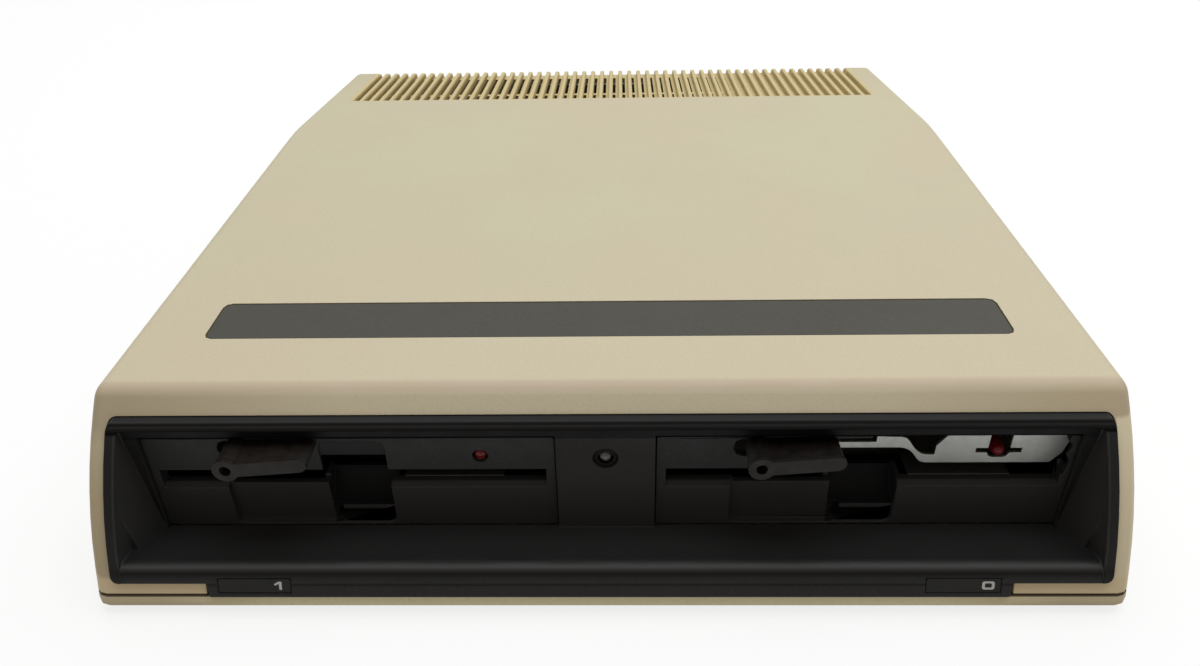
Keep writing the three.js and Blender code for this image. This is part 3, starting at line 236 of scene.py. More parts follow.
def facing(tree, axis, low, high, soft):
    """1 where the outward direction's part along an axis lies between low and high."""
    return inside(tree, ((axis, low, high),), soft, "Normal")


def facing_front(tree):
    """1 where a surface faces the front, 0 on the sides, the top and the underside."""
    return facing(tree, "Y", -1.5, -0.45, 0.2)


def bump(tree, shader, height, depth):
    node = tree.nodes.new("ShaderNodeBump")
    node.inputs["Distance"].default_value = depth
    tree.links.new(height, node.inputs["Height"])
    tree.links.new(node.outputs["Normal"], shader.inputs["Normal"])


def plastic_skin(tree, shader, tone, rough, wear, grain, depth, level):
    """Finishes a plastic with its colour, worn gloss and the mould's spark texture."""
    tree.links.new(tone, shader.inputs["Base Color"])
    worn = ranged(tree, noise(tree, wear, 4, seed=7.7), *rough)
    tree.links.new(worn, shader.inputs["Roughness"])
    feed(tree, shader.inputs["Specular IOR Level"], level)
    bump(tree, shader, noise(tree, grain, 3), depth)


def finish_node(name, material, width=0.0002, limit=28):
    """Gives a frame node its material and small rounded edges."""
    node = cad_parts[name]
    node.data.materials.clear()
    node.data.materials.append(material)
    for face in node.data.polygons:
        face.use_smooth = True
    weld = node.modifiers.new("weld", "WELD")
    weld.merge_threshold = 0.000005
    flatten = node.modifiers.new("flatten", "DECIMATE")
    flatten.decimate_type = "DISSOLVE"
    flatten.angle_limit = math.radians(0.3)
    edge = node.modifiers.new("edge", "BEVEL")
    edge.width = width
    edge.segments = 2
    edge.limit_method = "ANGLE"
    edge.angle_limit = math.radians(limit)
    edge.use_clamp_overlap = False
    shading = node.modifiers.new("shading", "WEIGHTED_NORMAL")
    shading.keep_sharp = True


tray_pale = (0.64, 0.565, 0.39)
tray_pink = (0.66, 0.57, 0.40)
tray_painted_light = (0.93, 0.88, 0.60)
tray_speck = (0.54, 0.47, 0.33)
# A brown painted shade for the gap between the cover and the tray, on both parts.
seam_painted_shade = (0.11, 0.075, 0.045)
seam_shade_soft = 0.00015
case_cloud = 11
case_finish = {"rough": (0.5, 0.62), "wear": 55, "grain": 1500, "depth": 0.00004, "level": 0.4}
tray_plastic, tray_tree, tray_shader = new_material("tray_plastic")
# Painted light on the middle of the tray's front, under the lip.
tray_middle_light_mask = inside(tray_tree, (("X", -0.135, 0.135),), 0.02)
tray_tone = layered(tray_tree, clouded(tray_tree, case_cloud, tray_pale, tray_pink), (
    (product(tray_tree, tray_middle_light_mask, facing_front(tray_tree)), tray_painted_light),
    (specks(tray_tree, 900, 0.15), tray_speck),
    (inside(tray_tree, (("Z", 0.0069, 0.0081),), seam_shade_soft), seam_painted_shade),
))
plastic_skin(tray_tree, tray_shader, tray_tone, **case_finish)
finish_node("base_tray", tray_plastic, 0.0003)


# Feet. Four round rubber pads, pushed into the tray from below. The rubber is black, dull
# and a little dusty.
def moulded(name, main, second, speck, rough, grain, depth, blotch, level=0.5):
    """A moulded plastic: two slow tones, fine specks and the mould's spark texture."""
    material, tree, shader = new_material(name)
    tone = blended(
        tree, specks(tree, grain * 0.6, 0.55), clouded(tree, blotch, main, second), speck,
    )
    plastic_skin(tree, shader, tone, rough, blotch * 5, grain, depth, level)
    return material


foot_rubber = moulded(
    "foot_rubber", (0.012, 0.012, 0.012), (0.02, 0.02, 0.019), (0.05, 0.048, 0.045),
    (0.75, 0.95), grain=2400, depth=0.00006, level=0.3, blotch=60,
)
for corner in ("front_left", "front_right", "rear_left", "rear_right"):
    finish_node("foot_" + corner, foot_rubber, 0.0003)


# Drive cradle. Folded sheet steel, zinc plated, screwed to the tray. The plating shows
# soft crystals and fine rolling lines, and has dulled to a warm grey.
def slope_along(tree, axis, start, end):
    """Runs from 0 to 1 between two places along an axis of the object."""
    return ranged(tree, coordinate(tree, axis), 0, 1, start, end)


def plated(
    name, light, dark, rough, grain=420, stretch=(1, 1, 1), metal=1.0, depth=0.00001, black=None,
    across="Y",
):
    """Metal with clouds and stains, and a painted shade going black between two places on an
    axis.
    """
    material, tree, shader = new_material(name)
    cloud = ranged(tree, noise(tree, grain * 0.2, 4, stretch), 0, 1)
    stain = ranged(tree, noise(tree, 45, 5, seed=2.3), 0, 0.5, 0.5, 0.8)
    dull = tuple(0.55 * part for part in dark)
    tone = blended(tree, stain, blended(tree, cloud, light, dark), dull)
    if black:
        # Painted shade: the colour goes to black across the span.
        tone = blended(tree, slope_along(tree, across, *black), tone, (0.012, 0.012, 0.012))
    tree.links.new(tone, shader.inputs["Base Color"])
    worn = ranged(tree, noise(tree, grain, 4, stretch, seed=5.2), *rough)
    tree.links.new(worn, shader.inputs["Roughness"])
    shader.inputs["Metallic"].default_value = metal
    bump(tree, shader, noise(tree, grain * 3, 2, stretch), depth)
    return material


zinc_plate = plated("zinc_plate", (0.72, 0.71, 0.62), (0.52, 0.52, 0.46), (0.28, 0.5))
finish_node("drive_cradle", zinc_plate, 0.0003)


# Power supply and logic board. Green glass-fibre boards with soldered parts stand on the
# tray's posts, beside a ribbed heat sink, a sleeved capacitor and a varnished transformer.
def board_material(name, chip):
    """Green mask over fine tracks, black chips above a height, and a black front edge."""
    material, tree, shader = new_material(name)
    mask = (0.02, 0.11, 0.035)
    where = tree.nodes.new("ShaderNodeTexCoord")
    tracks = tree.nodes.new("ShaderNodeTexBrick")
    tracks.inputs["Scale"].default_value = 90
    tracks.inputs["Mortar Size"].default_value = 0.03
    tracks.inputs["Color1"].default_value = (*mask, 1)
    tracks.inputs["Color2"].default_value = (*(0.8 * part for part in mask), 1)
    tracks.inputs["Mortar"].default_value = (0.05, 0.2, 0.06, 1)
    tree.links.new(where.outputs["Object"], tracks.inputs["Vector"])
    tone = layered(tree, tracks.outputs["Color"], (
        (slope_along(tree, "Z", chip, chip + 0.0001), (0.012, 0.012, 0.013)),
        (slope_along(tree, "Y", -0.12, -0.15), (0.008, 0.008, 0.008)),
    ))
    tree.links.new(tone, shader.inputs["Base Color"])
    worn = ranged(tree, noise(tree, 300, 3), 0.35, 0.6)
    tree.links.new(worn, shader.inputs["Roughness"])
    bump(tree, shader, tracks.outputs["Fac"], 0.00003)
    return material


supply_board = board_material("supply_board", 0.0119)
drive_circuit = board_material("drive_circuit", 0.0135)
finish_node("power_board", supply_board, 0.0002)
finish_node("logic_board", supply_board, 0.0002)
aluminium = plated(
    "aluminium", (0.62, 0.63, 0.64), (0.5, 0.5, 0.51), (0.3, 0.5), 700, (1, 1, 0.08),
)
finish_node("heat_sink", aluminium, 0.0001)
sleeve = moulded(
    "capacitor_sleeve", (0.03, 0.03, 0.05), (0.045, 0.045, 0.06), (0.06, 0.06, 0.07),
    (0.25, 0.4), grain=500, depth=0.00001, blotch=40,
)
finish_node("filter_capacitor", sleeve, 0.0003)
varnished_iron = plated(
    "varnished_iron", (0.10, 0.075, 0.055), (0.06, 0.05, 0.042), (0.35, 0.6), 260, (0.1, 1, 6),
    metal=0.4, depth=0.0001,
)
finish_node("transformer", varnished_iron, 0.0003)

# Rear panel and its connectors. Plated sheet steel screwed inside the case's rear opening,
# with a mains inlet, a fuse holder, a rocker switch and a ribbon socket snapped into it.
finish_node("rear_panel", zinc_plate, 0.0002)
inner_plastic = moulded(
    "inner_plastic", (0.013, 0.013, 0.014), (0.018, 0.018, 0.019), (0.03, 0.03, 0.03),
    (0.35, 0.5), grain=1800, depth=0.00002, blotch=40,
)
for part in ("mains_inlet", "fuse_holder", "power_switch"):
    finish_node(part, inner_plastic, 0.0003)
finish_node("power_rocker", inner_plastic, 0.0002)
finish_node("data_socket", aluminium, 0.0002)


def add_piece(name, shape, material, body, smooth=None):
    """Turns a bmesh into a piece that rides on a body."""
    mesh = bpy.data.meshes.new(name)
    bmesh.ops.recalc_face_normals(shape, faces=shape.faces)
    shape.to_mesh(mesh)
    shape.free()
    mesh.materials.append(material)
    if smooth:
        mesh.shade_smooth()
        mesh.set_sharp_from_angle(angle=math.radians(smooth))
    piece = bpy.data.objects.new(name, mesh)
    bpy.context.scene.collection.objects.link(piece)
    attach(piece, body)


def box_middle(name):
    """The middle of a frame node's box."""
    low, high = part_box(name)
    return (low + high) / 2


def prism(shape, outline, thickness, place, rim=0.0):
    """A plate: outline in X and Z, front at y = 0, with the front edges rounded by rim."""
    corners = [shape.verts.new((x, 0, z)) for x, z in outline]
    front = shape.faces.new(corners)
    grown = bmesh.ops.extrude_face_region(shape, geom=[front])["geom"]
    back = [item for item in grown if isinstance(item, bmesh.types.BMVert)]
    bmesh.ops.translate(shape, verts=back, vec=(0, thickness, 0))
    made = corners + back
    if rim:
        softened = bmesh.ops.bevel(
            shape, geom=list(front.edges), offset=rim, segments=2, profile=0.5, affect="EDGES",
        )
        made = list({*softened["verts"], *(vert for vert in made if vert.is_valid)})
    bmesh.ops.transform(shape, matrix=place, verts=made)


def rounded_box(width, height, radius, steps=4):
    """Outline of a rounded rectangle about the origin."""
    points = []
    for turn, (sx, sz) in enumerate(((1, 1), (-1, 1), (-1, -1), (1, -1))):
        for step in range(steps + 1):
            angle = (turn + step / steps) * math.pi / 2
            points.append((
                sx * (width / 2 - radius) + radius * math.cos(angle),
                sz * (height / 2 - radius) + radius * math.sin(angle),
            ))
    return points


def lathe(shape, profile, place, sides=36, pressed=None):
    """Turns (radius, y) pairs about Y. pressed(x, z) gives how deep a place is pushed in."""
    rings = []
    for radius, y in profile:
        ring = []
        for side in range(sides if radius else 1):
            angle = 2 * math.pi * side / sides
            x = radius * math.cos(angle)
            z = radius * math.sin(angle)
            ring.append(shape.verts.new((x, y + (pressed(x, z) if pressed else 0), z)))
        rings.append(ring)
    for near, far in zip(rings, rings[1:]):
        for side in range(sides):
            after = (side + 1) % sides
            corners = [near[side % len(near)], near[after % len(near)]]
            corners += [far[after % len(far)], far[side % len(far)]]
            shape.faces.new(list(dict.fromkeys(corners)))
    if len(rings[-1]) > 1:
        shape.faces.new(rings[-1])
    if len(rings[0]) > 1:
        shape.faces.new(rings[0])
    bmesh.ops.transform(shape, matrix=place, verts=[vert for ring in rings for vert in ring])


def cross_screw(shape, radius, place):
    """A low domed screw head with a cross recess. It faces along -Y before it is placed."""
    arm = 0.56 * radius
    slit = 0.13 * radius

    def recess(x, z):
        across = min(abs(x), abs(z))
        along = max(abs(x), abs(z))
        return 0.42 * radius if across < slit and along < arm else 0.0

    fine = [(0.07 * step * radius, -0.34 * radius) for step in range(10)]
    dome = [(0.76 * radius, -0.3 * radius), (0.9 * radius, -0.2 * radius), (radius, 0)]
    lathe(shape, fine + dome, place, 48, recess)


outward = Matrix.Rotation(math.pi, 4, "Z")
panel_low, panel_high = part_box("rear_panel")
screw_inset = 0.006
panel_screw_radius = 0.003
panel_corners = [
    (way * (panel_high.x - screw_inset), z)
    for z in (panel_low.z + screw_inset, panel_high.z - screw_inset) for way in (-1, 1)
]
for number, (x, z) in enumerate(panel_corners, 1):
    head = bmesh.new()
    cross_screw(head, panel_screw_radius, Matrix.Translation((x, panel_high.y, z)) @ outward)
    add_piece("panel_screw_" + str(number), head, aluminium, "root", 40)

small_screw_radius = 0.0022
inlet_screw_reach = 0.0168
jack_post_reach = 0.0295
inlet_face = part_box("mains_inlet")[1].y
inlet_middle = box_middle("mains_inlet")
socket_middle = box_middle("data_socket")
flange_thickness = 0.0019
flange_face = panel_high.y + flange_thickness
for number, way in enumerate((-1, 1), 1):
    head = bmesh.new()
    place = Matrix.Translation((
        inlet_middle.x + way * inlet_screw_reach, inlet_face, inlet_middle.z,
    ))
    cross_screw(head, small_screw_radius, place @ outward)
    add_piece("inlet_screw_" + str(number), head, aluminium, "root", 40)
    post = bmesh.new()
    place = Matrix.Translation((
        socket_middle.x + way * jack_post_reach, flange_face, socket_middle.z,
    ))
    lathe(post, [(0.0025, 0), (0.0025, -0.0042), (0.0021, -0.0048)], place @ outward, 6)
    lathe(post, [(0.0014, -0.0046), (0.0014, -0.0049), (0.0011, -0.005)], place @ outward, 20)
    add_piece("jack_post_" + str(number), post, aluminium, "root", 30)

contact_metal = plated("contact_metal", (0.75, 0.6, 0.3), (0.6, 0.47, 0.22), (0.2, 0.35), 900)
contact_outline = rounded_box(0.0011, 0.0003, 0.0001, 2)
contact_tip = flange_face + 0.0042
contact_length = 0.008
contacts_in_row = 17
contact_pitch = 0.002
contact_row_height = 0.00178
contacts = bmesh.new()
for row in (-1, 1):
    for number in range(contacts_in_row):
        place = Matrix.Translation((
            socket_middle.x + (number - contacts_in_row // 2) * contact_pitch, contact_tip,
            socket_middle.z + row * contact_row_height,
        ))
        prism(contacts, contact_outline, -contact_length, place, 0.00005)
add_piece("socket_contacts", contacts, contact_metal, "root")

pin_outline = rounded_box(0.0022, 0.0042, 0.0003, 2)
pin_tip = inlet_face - 0.0038
pin_length = 0.0125
pin_places = ((-0.007, -0.002), (0, 0.002), (0.007, -0.002))
pins = bmesh.new()
for x, z in pin_places:
    place = Matrix.Translation((inlet_middle.x + x, pin_tip, inlet_middle.z + z))
    prism(pins, pin_outline, -pin_length, place @ outward, 0.0006)
add_piece("inlet_pins", pins, contact_metal, "root", 40)

# Drives. Each half-height drive is a die-cast alloy chassis with the spindle motor and its
# hub, and a head carriage that a stepper motor pulls along two ground rods with a band.
# The alloy is painted black at its front, behind the disk slots, as painted shade.
cast_alloy = plated(
    "cast_alloy", (0.50, 0.51, 0.51), (0.4, 0.41, 0.41), (0.4, 0.62), 500, depth=0.00006,
    black=(-0.160, -0.164),
)
bright_steel = plated(
    "bright_steel", (0.66, 0.66, 0.64), (0.52, 0.52, 0.5), (0.2, 0.36), 900, (1, 0.1, 1),
)
for side in ("left", "right"):
    finish_node("chassis_" + side, cast_alloy, 0.0003)
    finish_node("spindle_motor_" + side, varnished_iron, 0.0002)
    finish_node("spindle_hub_" + side, cast_alloy, 0.0002)
    finish_node("head_carriage_" + side, cast_alloy, 0.0002)
    finish_node("upper_head_arm_" + side, inner_plastic, 0.0002)
    for rod in ("_a", "_b"):
        finish_node("guide_rod_" + side + rod, bright_steel, 0.0002, limit=50)
    finish_node("stepper_motor_" + side, varnished_iron, 0.0003)
    finish_node("band_pulley_" + side, cast_alloy, 0.0001, limit=50)
    finish_node("drive_board_" + side, drive_circuit, 0.0002)

# Disk clamp. A stamped steel arm hinged at the back of the chassis presses the plastic
# clamp hub into the disk's hole. The cam on the lever's turned shaft holds it down.
for side in ("left", "right"):
    finish_node("clamp_arm_" + side, bright_steel, 0.0002)
    finish_node("clamp_hub_" + side, inner_plastic, 0.0002)
    finish_node("lever_shaft_" + side, bright_steel, 0.0002, limit=50)

# Front brackets. Thin plated sheet behind each drive front, with a slot for the light and
# an S-shaped web. The right one shows where its front has broken away. The right end of the
# right bracket is painted black as painted shade.
# Painted shade: the plating goes black towards the right end.
bracket_steel = plated(
    "bracket_steel", (0.47, 0.475, 0.45), (0.36, 0.37, 0.35), (0.34, 0.5), 500, metal=0.85,
    black=(0.148, 0.172), across="X",
)
for side in ("left", "right"):
    finish_node("front_bracket_" + side, bracket_steel, 0.00015)

# Slot guides. A black painted steel strip lies in each disk slot, on the right of the
# finger notch, and leads the disk in. Its front face is painted a paler grey as a painted
# highlight.
guide_black = (0.028, 0.028, 0.028)
guide_grey = (0.042, 0.041, 0.04)
guide_front_highlight = (0.045, 0.044, 0.042)
guide_outline = rounded_box(0.036, 0.0006, 0.0001, 2)
guide_length = 0.011
guide_right_of_middle = 0.0355
guide_setback = 0.0041
guide_height = 0.0201
guide_paint, guide_tree, guide_shader = new_material("guide_paint")
# Painted highlight on the faces that look to the front.
guide_highlight_mask = ranged(guide_tree, coordinate(guide_tree, "Y", "Normal"), 1, 0, -0.9, -0.3)
guide_tone = clouded(guide_tree, 400, guide_black, guide_grey, 4)
guide_tree.links.new(
    blended(guide_tree, guide_highlight_mask, guide_tone, guide_front_highlight), guide_shader.inputs["Base Color"],
)
guide_tree.links.new(
    ranged(guide_tree, noise(guide_tree, 700, 3), 0.35, 0.55), guide_shader.inputs["Roughness"],
)
bump(guide_tree, guide_shader, noise(guide_tree, 2000, 2), 0.00001)
for side in ("left", "right"):
    face_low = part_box("fascia_" + side)[0]
    place = Matrix.Translation((
        box_middle("fascia_" + side).x + guide_right_of_middle, face_low.y + guide_setback,
        face_low.z + guide_height,
    ))
    guide = bmesh.new()
    prism(guide, guide_outline, guide_length, place, 0.00012)
    add_piece("slot_guide_" + side, guide, guide_paint, "root")

# Drive fronts. Black moulded plastic plates screwed to the chassis, with the disk slot, the
# shallow pocket under the lever and the finger notch. The right one has lost its upper bar.
# Painted shade darkens the inside of the finger notch, and painted light makes each plate
# lighter towards the bottom.
fascia_grey = (0.0215, 0.0225, 0.0235)
fascia_pale = (0.026, 0.0265, 0.0275)
fascia_speck = (0.042, 0.043, 0.045)
fascia_lower_painted_light = (0.042, 0.042, 0.043)
notch_painted_shade = (0.009, 0.009, 0.0095)
notch_foot_shade = (0.013, 0.013, 0.013)
notch_brow_shade = (0.0105, 0.0107, 0.011)
notch_left = -0.0102
notch_right = 0.013
notch_foot_bottom = 0.01
notch_foot_top = 0.0175
brow_inset = 0.0001
for side in ("left", "right"):
    face_low, face_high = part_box("fascia_" + side)
    face_middle = (face_low.x + face_high.x) / 2
    notch_end = face_high.y + 0.01
    fascia, fascia_tree, fascia_shader = new_material("fascia_plastic_" + side)
    # Painted shade inside the finger notch: its back, its foot and its brow.
    fascia_notch_shade = inside(fascia_tree, (
        ("X", face_middle + notch_left, face_middle + notch_right),
        ("Y", face_low.y + 0.0012, notch_end), ("Z", notch_foot_top, 0.06),
    ))
    fascia_notch_foot_shade = inside(fascia_tree, (
        ("X", face_middle + notch_left, face_middle + notch_right),
        ("Y", face_low.y + 0.0006, notch_end), ("Z", notch_foot_bottom, notch_foot_top),
    ))
    fascia_notch_brow_shade = inside(fascia_tree, (
        ("X", face_middle + notch_left + brow_inset, face_middle + notch_right - brow_inset),
        ("Y", face_low.y + 0.0003, notch_end), ("Z", 0.043, 0.0506),
    ), brow_inset)
    fascia_tone = layered(fascia_tree, clouded(fascia_tree, 25, fascia_grey, fascia_pale), (
        (specks(fascia_tree, 1100, 0.55), fascia_speck),
        # Painted light: lighter towards the bottom.
        (slope_along(fascia_tree, "Z", 0.045, 0.018), fascia_lower_painted_light),
        (fascia_notch_shade, notch_painted_shade),
        (fascia_notch_foot_shade, notch_foot_shade),
        (fascia_notch_brow_shade, notch_brow_shade),
    ))
    plastic_skin(
        fascia_tree, fascia_shader, fascia_tone, rough=(0.45, 0.58), wear=125, grain=1900,
        depth=0.00002, level=ranged(fascia_tree, fascia_notch_shade, 0.25, 0.1, 0, 1),
    )
    finish_node("fascia_" + side, fascia, 0.0003)

# Activity lights. Clear red plastic lenses pushed through the slot in each bracket. The
# left one shows a domed cap in the hole of its drive front.
red_lens, red_tree, red_shader = new_material("red_lens")
red_tree.links.new(
    clouded(red_tree, 600, (0.14, 0.006, 0.011), (0.21, 0.01, 0.017), 2),
    red_shader.inputs["Base Color"],
)
red_shader.inputs["Roughness"].default_value = 0.25
red_shader.inputs["Specular IOR Level"].default_value = 0.3
for side in ("left", "right"):
    finish_node("activity_led_" + side, red_lens, 0.0001, limit=50)
light_middle = box_middle("activity_led_left")
light_setback = 0.0003
light_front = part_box("fascia_left")[0].y + light_setback
cap = bmesh.new()
cap_profile = [
    (0, 0), (0.0008, 0.0001), (0.0015, 0.0004), (0.0021, 0.0009), (0.0024, 0.0016),
    (0.0024, 0.0026),
]
lathe(cap, cap_profile, Matrix.Translation((light_middle.x, light_front, light_middle.z)), 32)
add_piece("light_cap", cap, red_lens, "root", 50)


# Turn levers. Dark grey moulded levers pressed on the shafts, with a lug hole in the boss.
# The tops are painted a darker brown, part dust and part painted shade under the bezel's
# rim, lighter on the left lever and darker on the right.
def upward(tree):
    """1 where a surface faces up, 0 where it is upright or faces down."""
    return ranged(tree, coordinate(tree, "Z", "Normal"), 0, 1, 0.35, 0.95)


lever_grey = (0.024, 0.0235, 0.0235)
lever_pale = (0.029, 0.0275, 0.0275)
dust_and_shade_left = ((0.007, 0.0052, 0.0044), (0.0165, 0.0127, 0.0107))
dust_and_shade_right = ((0.003, 0.0021, 0.0018), (0.0085, 0.006, 0.0049))
lever_plastic, lever_tree, lever_shader = new_material("lever_plastic")
lever_blotch = ranged(lever_tree, noise(lever_tree, 300, 5, seed=1.4), 0, 1)
# Dust and painted shade on the tops, darker on the right lever.
lever_dust_and_shade = blended(
    lever_tree, slope_along(lever_tree, "X", -0.05, 0.0),
    blended(lever_tree, lever_blotch, *dust_and_shade_left), blended(lever_tree, lever_blotch, *dust_and_shade_right),
)
lever_top_shade_mask = upward(lever_tree)
lever_tone = blended(
    lever_tree, lever_top_shade_mask, clouded(lever_tree, 60, lever_grey, lever_pale), lever_dust_and_shade,
)
plastic_skin(
    lever_tree, lever_shader, lever_tone, rough=(0.45, 0.65), wear=240, grain=1900,
    depth=0.00002, level=ranged(lever_tree, lever_top_shade_mask, 0.2, 0.04, 0, 1),
)
for side in ("left", "right"):
    finish_node("lever_" + side, lever_plastic, 0.0003, limit=40)


# Bezel. One black moulding screwed in from behind, with a deep recess round both drives, a
# post with the power light between them and a lip below. Two plates with digits are glued
# into the lip. Its colour holds painted light on the lower post, the rear of the recess
# floor and the side walls, painted shade under the top rim, at the recess's front corners,
# on the outer rim, at the front of the floor and on the lip, and painted highlights along
# the rim's bead, an inner rim line and the lip's roll.
def away_along(tree, axis, start, end):
    """Runs from 0 to 1 between two distances from the middle, on both sides of it."""
    distance = calculated(tree, "ABSOLUTE", coordinate(tree, axis))
    return ranged(tree, distance, 0, 1, start, end)


bezel_black = (0.0235, 0.0238, 0.0245)
bezel_pale = (0.028, 0.028, 0.0288)
bezel_speck = (0.042, 0.041, 0.041)
post_painted_light = (0.044, 0.043, 0.043)
floor_rear_painted_light = (0.034, 0.033, 0.033)
floor_front_painted_shade = (0.0145, 0.0138, 0.0138)
frame_painted_shade = (0.0095, 0.009, 0.0092)
head_painted_shade = (0.0028, 0.0027, 0.0028)
side_painted_light = (0.040, 0.0395, 0.0395)
rim_painted_shade = (0.017, 0.0168, 0.0175)
line_painted_highlight = (0.038, 0.037, 0.038)
chin_painted_shade = (0.0085, 0.008, 0.0082)
roll_painted_highlight = (0.062, 0.061, 0.061)
bezel_plastic, bezel_tree, bezel_shader = new_material("bezel_plastic")
# Painted light on the lower part of the post.
bezel_post_light = product(
    bezel_tree, inside(bezel_tree, (("X", -0.018, 0.018), ("Y", -0.187, -0.17))),
    slope_along(bezel_tree, "Z", 0.045, 0.02),
)
# Painted light and shade on the upward faces: lighter at the rear of the recess, darker at the
# front.
bezel_floor_painted_light = blended(
    bezel_tree, slope_along(bezel_tree, "Y", -0.2065, -0.1835), floor_front_painted_shade, floor_rear_painted_light,
)
# Painted shade on the strip at the recess's front corners.
bezel_frame_shade = product(
    bezel_tree, inside(bezel_tree, (("Y", -0.1846, -0.175),), 0.0002),
    away_along(bezel_tree, "X", 0.1612, 0.1618),
)
# Painted shade under the top rim, above the drive fronts.
bezel_head_shade = inside(bezel_tree, (("Y", -0.1846, -0.165), ("Z", 0.0535, 0.062)), 0.0002)
# Painted light on the recess's side walls.
bezel_side_light = product(
    bezel_tree, away_along(bezel_tree, "X", 0.1608, 0.1618),
    inside(bezel_tree, (("Y", -0.6, 0.6), ("Z", -0.5, 0.5)), 0.15, "Normal"),
)
# Painted shade on the front of the outer rim at both ends.
bezel_rim_shade = product(
    bezel_tree, away_along(bezel_tree, "X", 0.1673, 0.1679),
    facing(bezel_tree, "Y", -1.5, -0.6, 0.1),
)
# A painted highlight line down each inner rim.
bezel_line_highlight = product(
    bezel_tree, away_along(bezel_tree, "X", 0.1660, 0.1666),
    away_along(bezel_tree, "X", 0.1678, 0.1672),
    inside(bezel_tree, (("Z", 0.0175, 0.058),), 0.001),
)
# Painted shade on the lip's front below its roll.
bezel_chin_shade = inside(bezel_tree, (("Y", -0.25, -0.208), ("Z", 0.0145, 0.0182)), 0.0012)
# A painted highlight along the lip's roll.
bezel_roll_highlight = product(
    bezel_tree, inside(bezel_tree, (("Y", -0.25, -0.2), ("Z", 0.0145, 0.0215))),
    facing(bezel_tree, "Y", -0.66, -0.34, 0.17),
)
# Painted highlights and shade in bands by height along the rounded bead of the top rim.
bezel_bead_painted_light = bezel_tree.nodes.new("ShaderNodeValToRGB")
bead_light_stops = (
    (0, 0.002), (0.12, 0.003), (0.3, 0.011), (0.42, 0.013), (0.53, 0.026), (0.6, 0.025),
    (0.67, 0.012), (0.8, 0.014), (0.86, 0.04), (0.93, 0.052), (1, 0.025),
)
for number, (place, tone) in enumerate(bead_light_stops):
    if number > 1:
        bezel_bead_painted_light.color_ramp.elements.new(place)
    stop = bezel_bead_painted_light.color_ramp.elements[number]
    stop.position = place
    stop.color = (tone, 0.96 * tone, 0.98 * tone, 1)
bezel_tree.links.new(slope_along(bezel_tree, "Z", 0.0574, 0.061), bezel_bead_painted_light.inputs["Fac"])
bezel_bead_light_mask = slope_along(bezel_tree, "Z", 0.0571, 0.0577)
bezel_tone = layered(bezel_tree, clouded(bezel_tree, 18, bezel_black, bezel_pale), (
    (specks(bezel_tree, 1000, 0.5), bezel_speck),
    (bezel_post_light, post_painted_light),
    (upward(bezel_tree), bezel_floor_painted_light),
    (bezel_frame_shade, frame_painted_shade),
    (bezel_head_shade, head_painted_shade),
    (bezel_side_light, side_painted_light),
    (bezel_rim_shade, rim_painted_shade),
    (bezel_line_highlight, line_painted_highlight),
    (bezel_chin_shade, chin_painted_shade),
    (bezel_roll_highlight, roll_painted_highlight),
    (bezel_bead_light_mask, bezel_bead_painted_light.outputs["Color"]),
))
plastic_skin(
    bezel_tree, bezel_shader, bezel_tone, rough=(0.42, 0.56), wear=90, grain=1700,
    depth=0.00003, level=ranged(bezel_tree, bezel_bead_light_mask, 0.16, 0.04, 0, 1),
)
finish_node("front_bezel", bezel_plastic, 0.0004)

label_plastic = moulded(
    "label_plastic", (0.0145, 0.0145, 0.0145), (0.017, 0.0168, 0.0168), (0.024, 0.0235, 0.0235),
    (0.4, 0.5), grain=1500, depth=0.00001, level=0.2, blotch=60,
)
label_ink = moulded(
    "label_ink", (0.64, 0.66, 0.65), (0.58, 0.6, 0.59), (0.5, 0.51, 0.5),
    (0.5, 0.65), grain=2500, depth=0.00001, level=0.3, blotch=120,
)
label_lean = math.radians(-20.1)
label_middle = Vector((0.12075, -0.21172, 0.01185))
label_outline = rounded_box(0.0250, 0.0051, 0.0006)
label_thickness = 0.0006
ink_front = -0.00004
ink_depth = 0.00008
one_outline = [
    (0.0013, -0.0015), (0.0013, 0.0015), (0.0001, 0.0015), (-0.0014, 0.0005),
    (-0.0010, 0.0000), (0.0003, 0.0007), (0.0004, -0.0015),
]
nought_outer = rounded_box(0.0042, 0.0030, 0.0008)
nought_inner = rounded_box(0.0023, 0.0016, 0.0004)
for side, way, ink_reach in (("left", -1, 0.00815), ("right", 1, 0.0083)):
    place = Matrix.Translation((way * label_middle.x, label_middle.y, label_middle.z))
    place = place @ Matrix.Rotation(label_lean, 4, "X")
    plate = bmesh.new()
    prism(plate, label_outline, label_thickness, place, 0.00012)
    add_piece("label_plate_" + side, plate, label_plastic, "root")
    place = place @ Matrix.Translation((ink_reach, ink_front, 0))
    digit = bmesh.new()
    if side == "left":
        prism(digit, one_outline, ink_depth, place)
    else:
        rings = [
            [digit.verts.new((x, y, z)) for x, z in ring]
            for ring, y in (
                (nought_inner, ink_depth), (nought_inner, 0), (nought_outer, 0),
                (nought_outer, ink_depth),
            )
        ]
        for near, far in zip(rings, rings[1:] + rings[:1]):
            for step in range(len(near)):
                after = (step + 1) % len(near)
                digit.faces.new((near[step], near[after], far[after], far[step]))
        bmesh.ops.transform(digit, matrix=place, verts=digit.verts)
    add_piece("label_digit_" + side, digit, label_ink, "root")

# Power light. A cloudy grey plastic lens pushed from behind into a well in the post, with
# a black collar round it, painted near black as the shade in the well.
grey_lens = moulded(
    "grey_lens", (0.125, 0.125, 0.123), (0.16, 0.16, 0.156), (0.2, 0.2, 0.195),
    (0.12, 0.2), grain=500, depth=0.00001, blotch=200,
)
finish_node("power_led", grey_lens, 0.0001, limit=50)
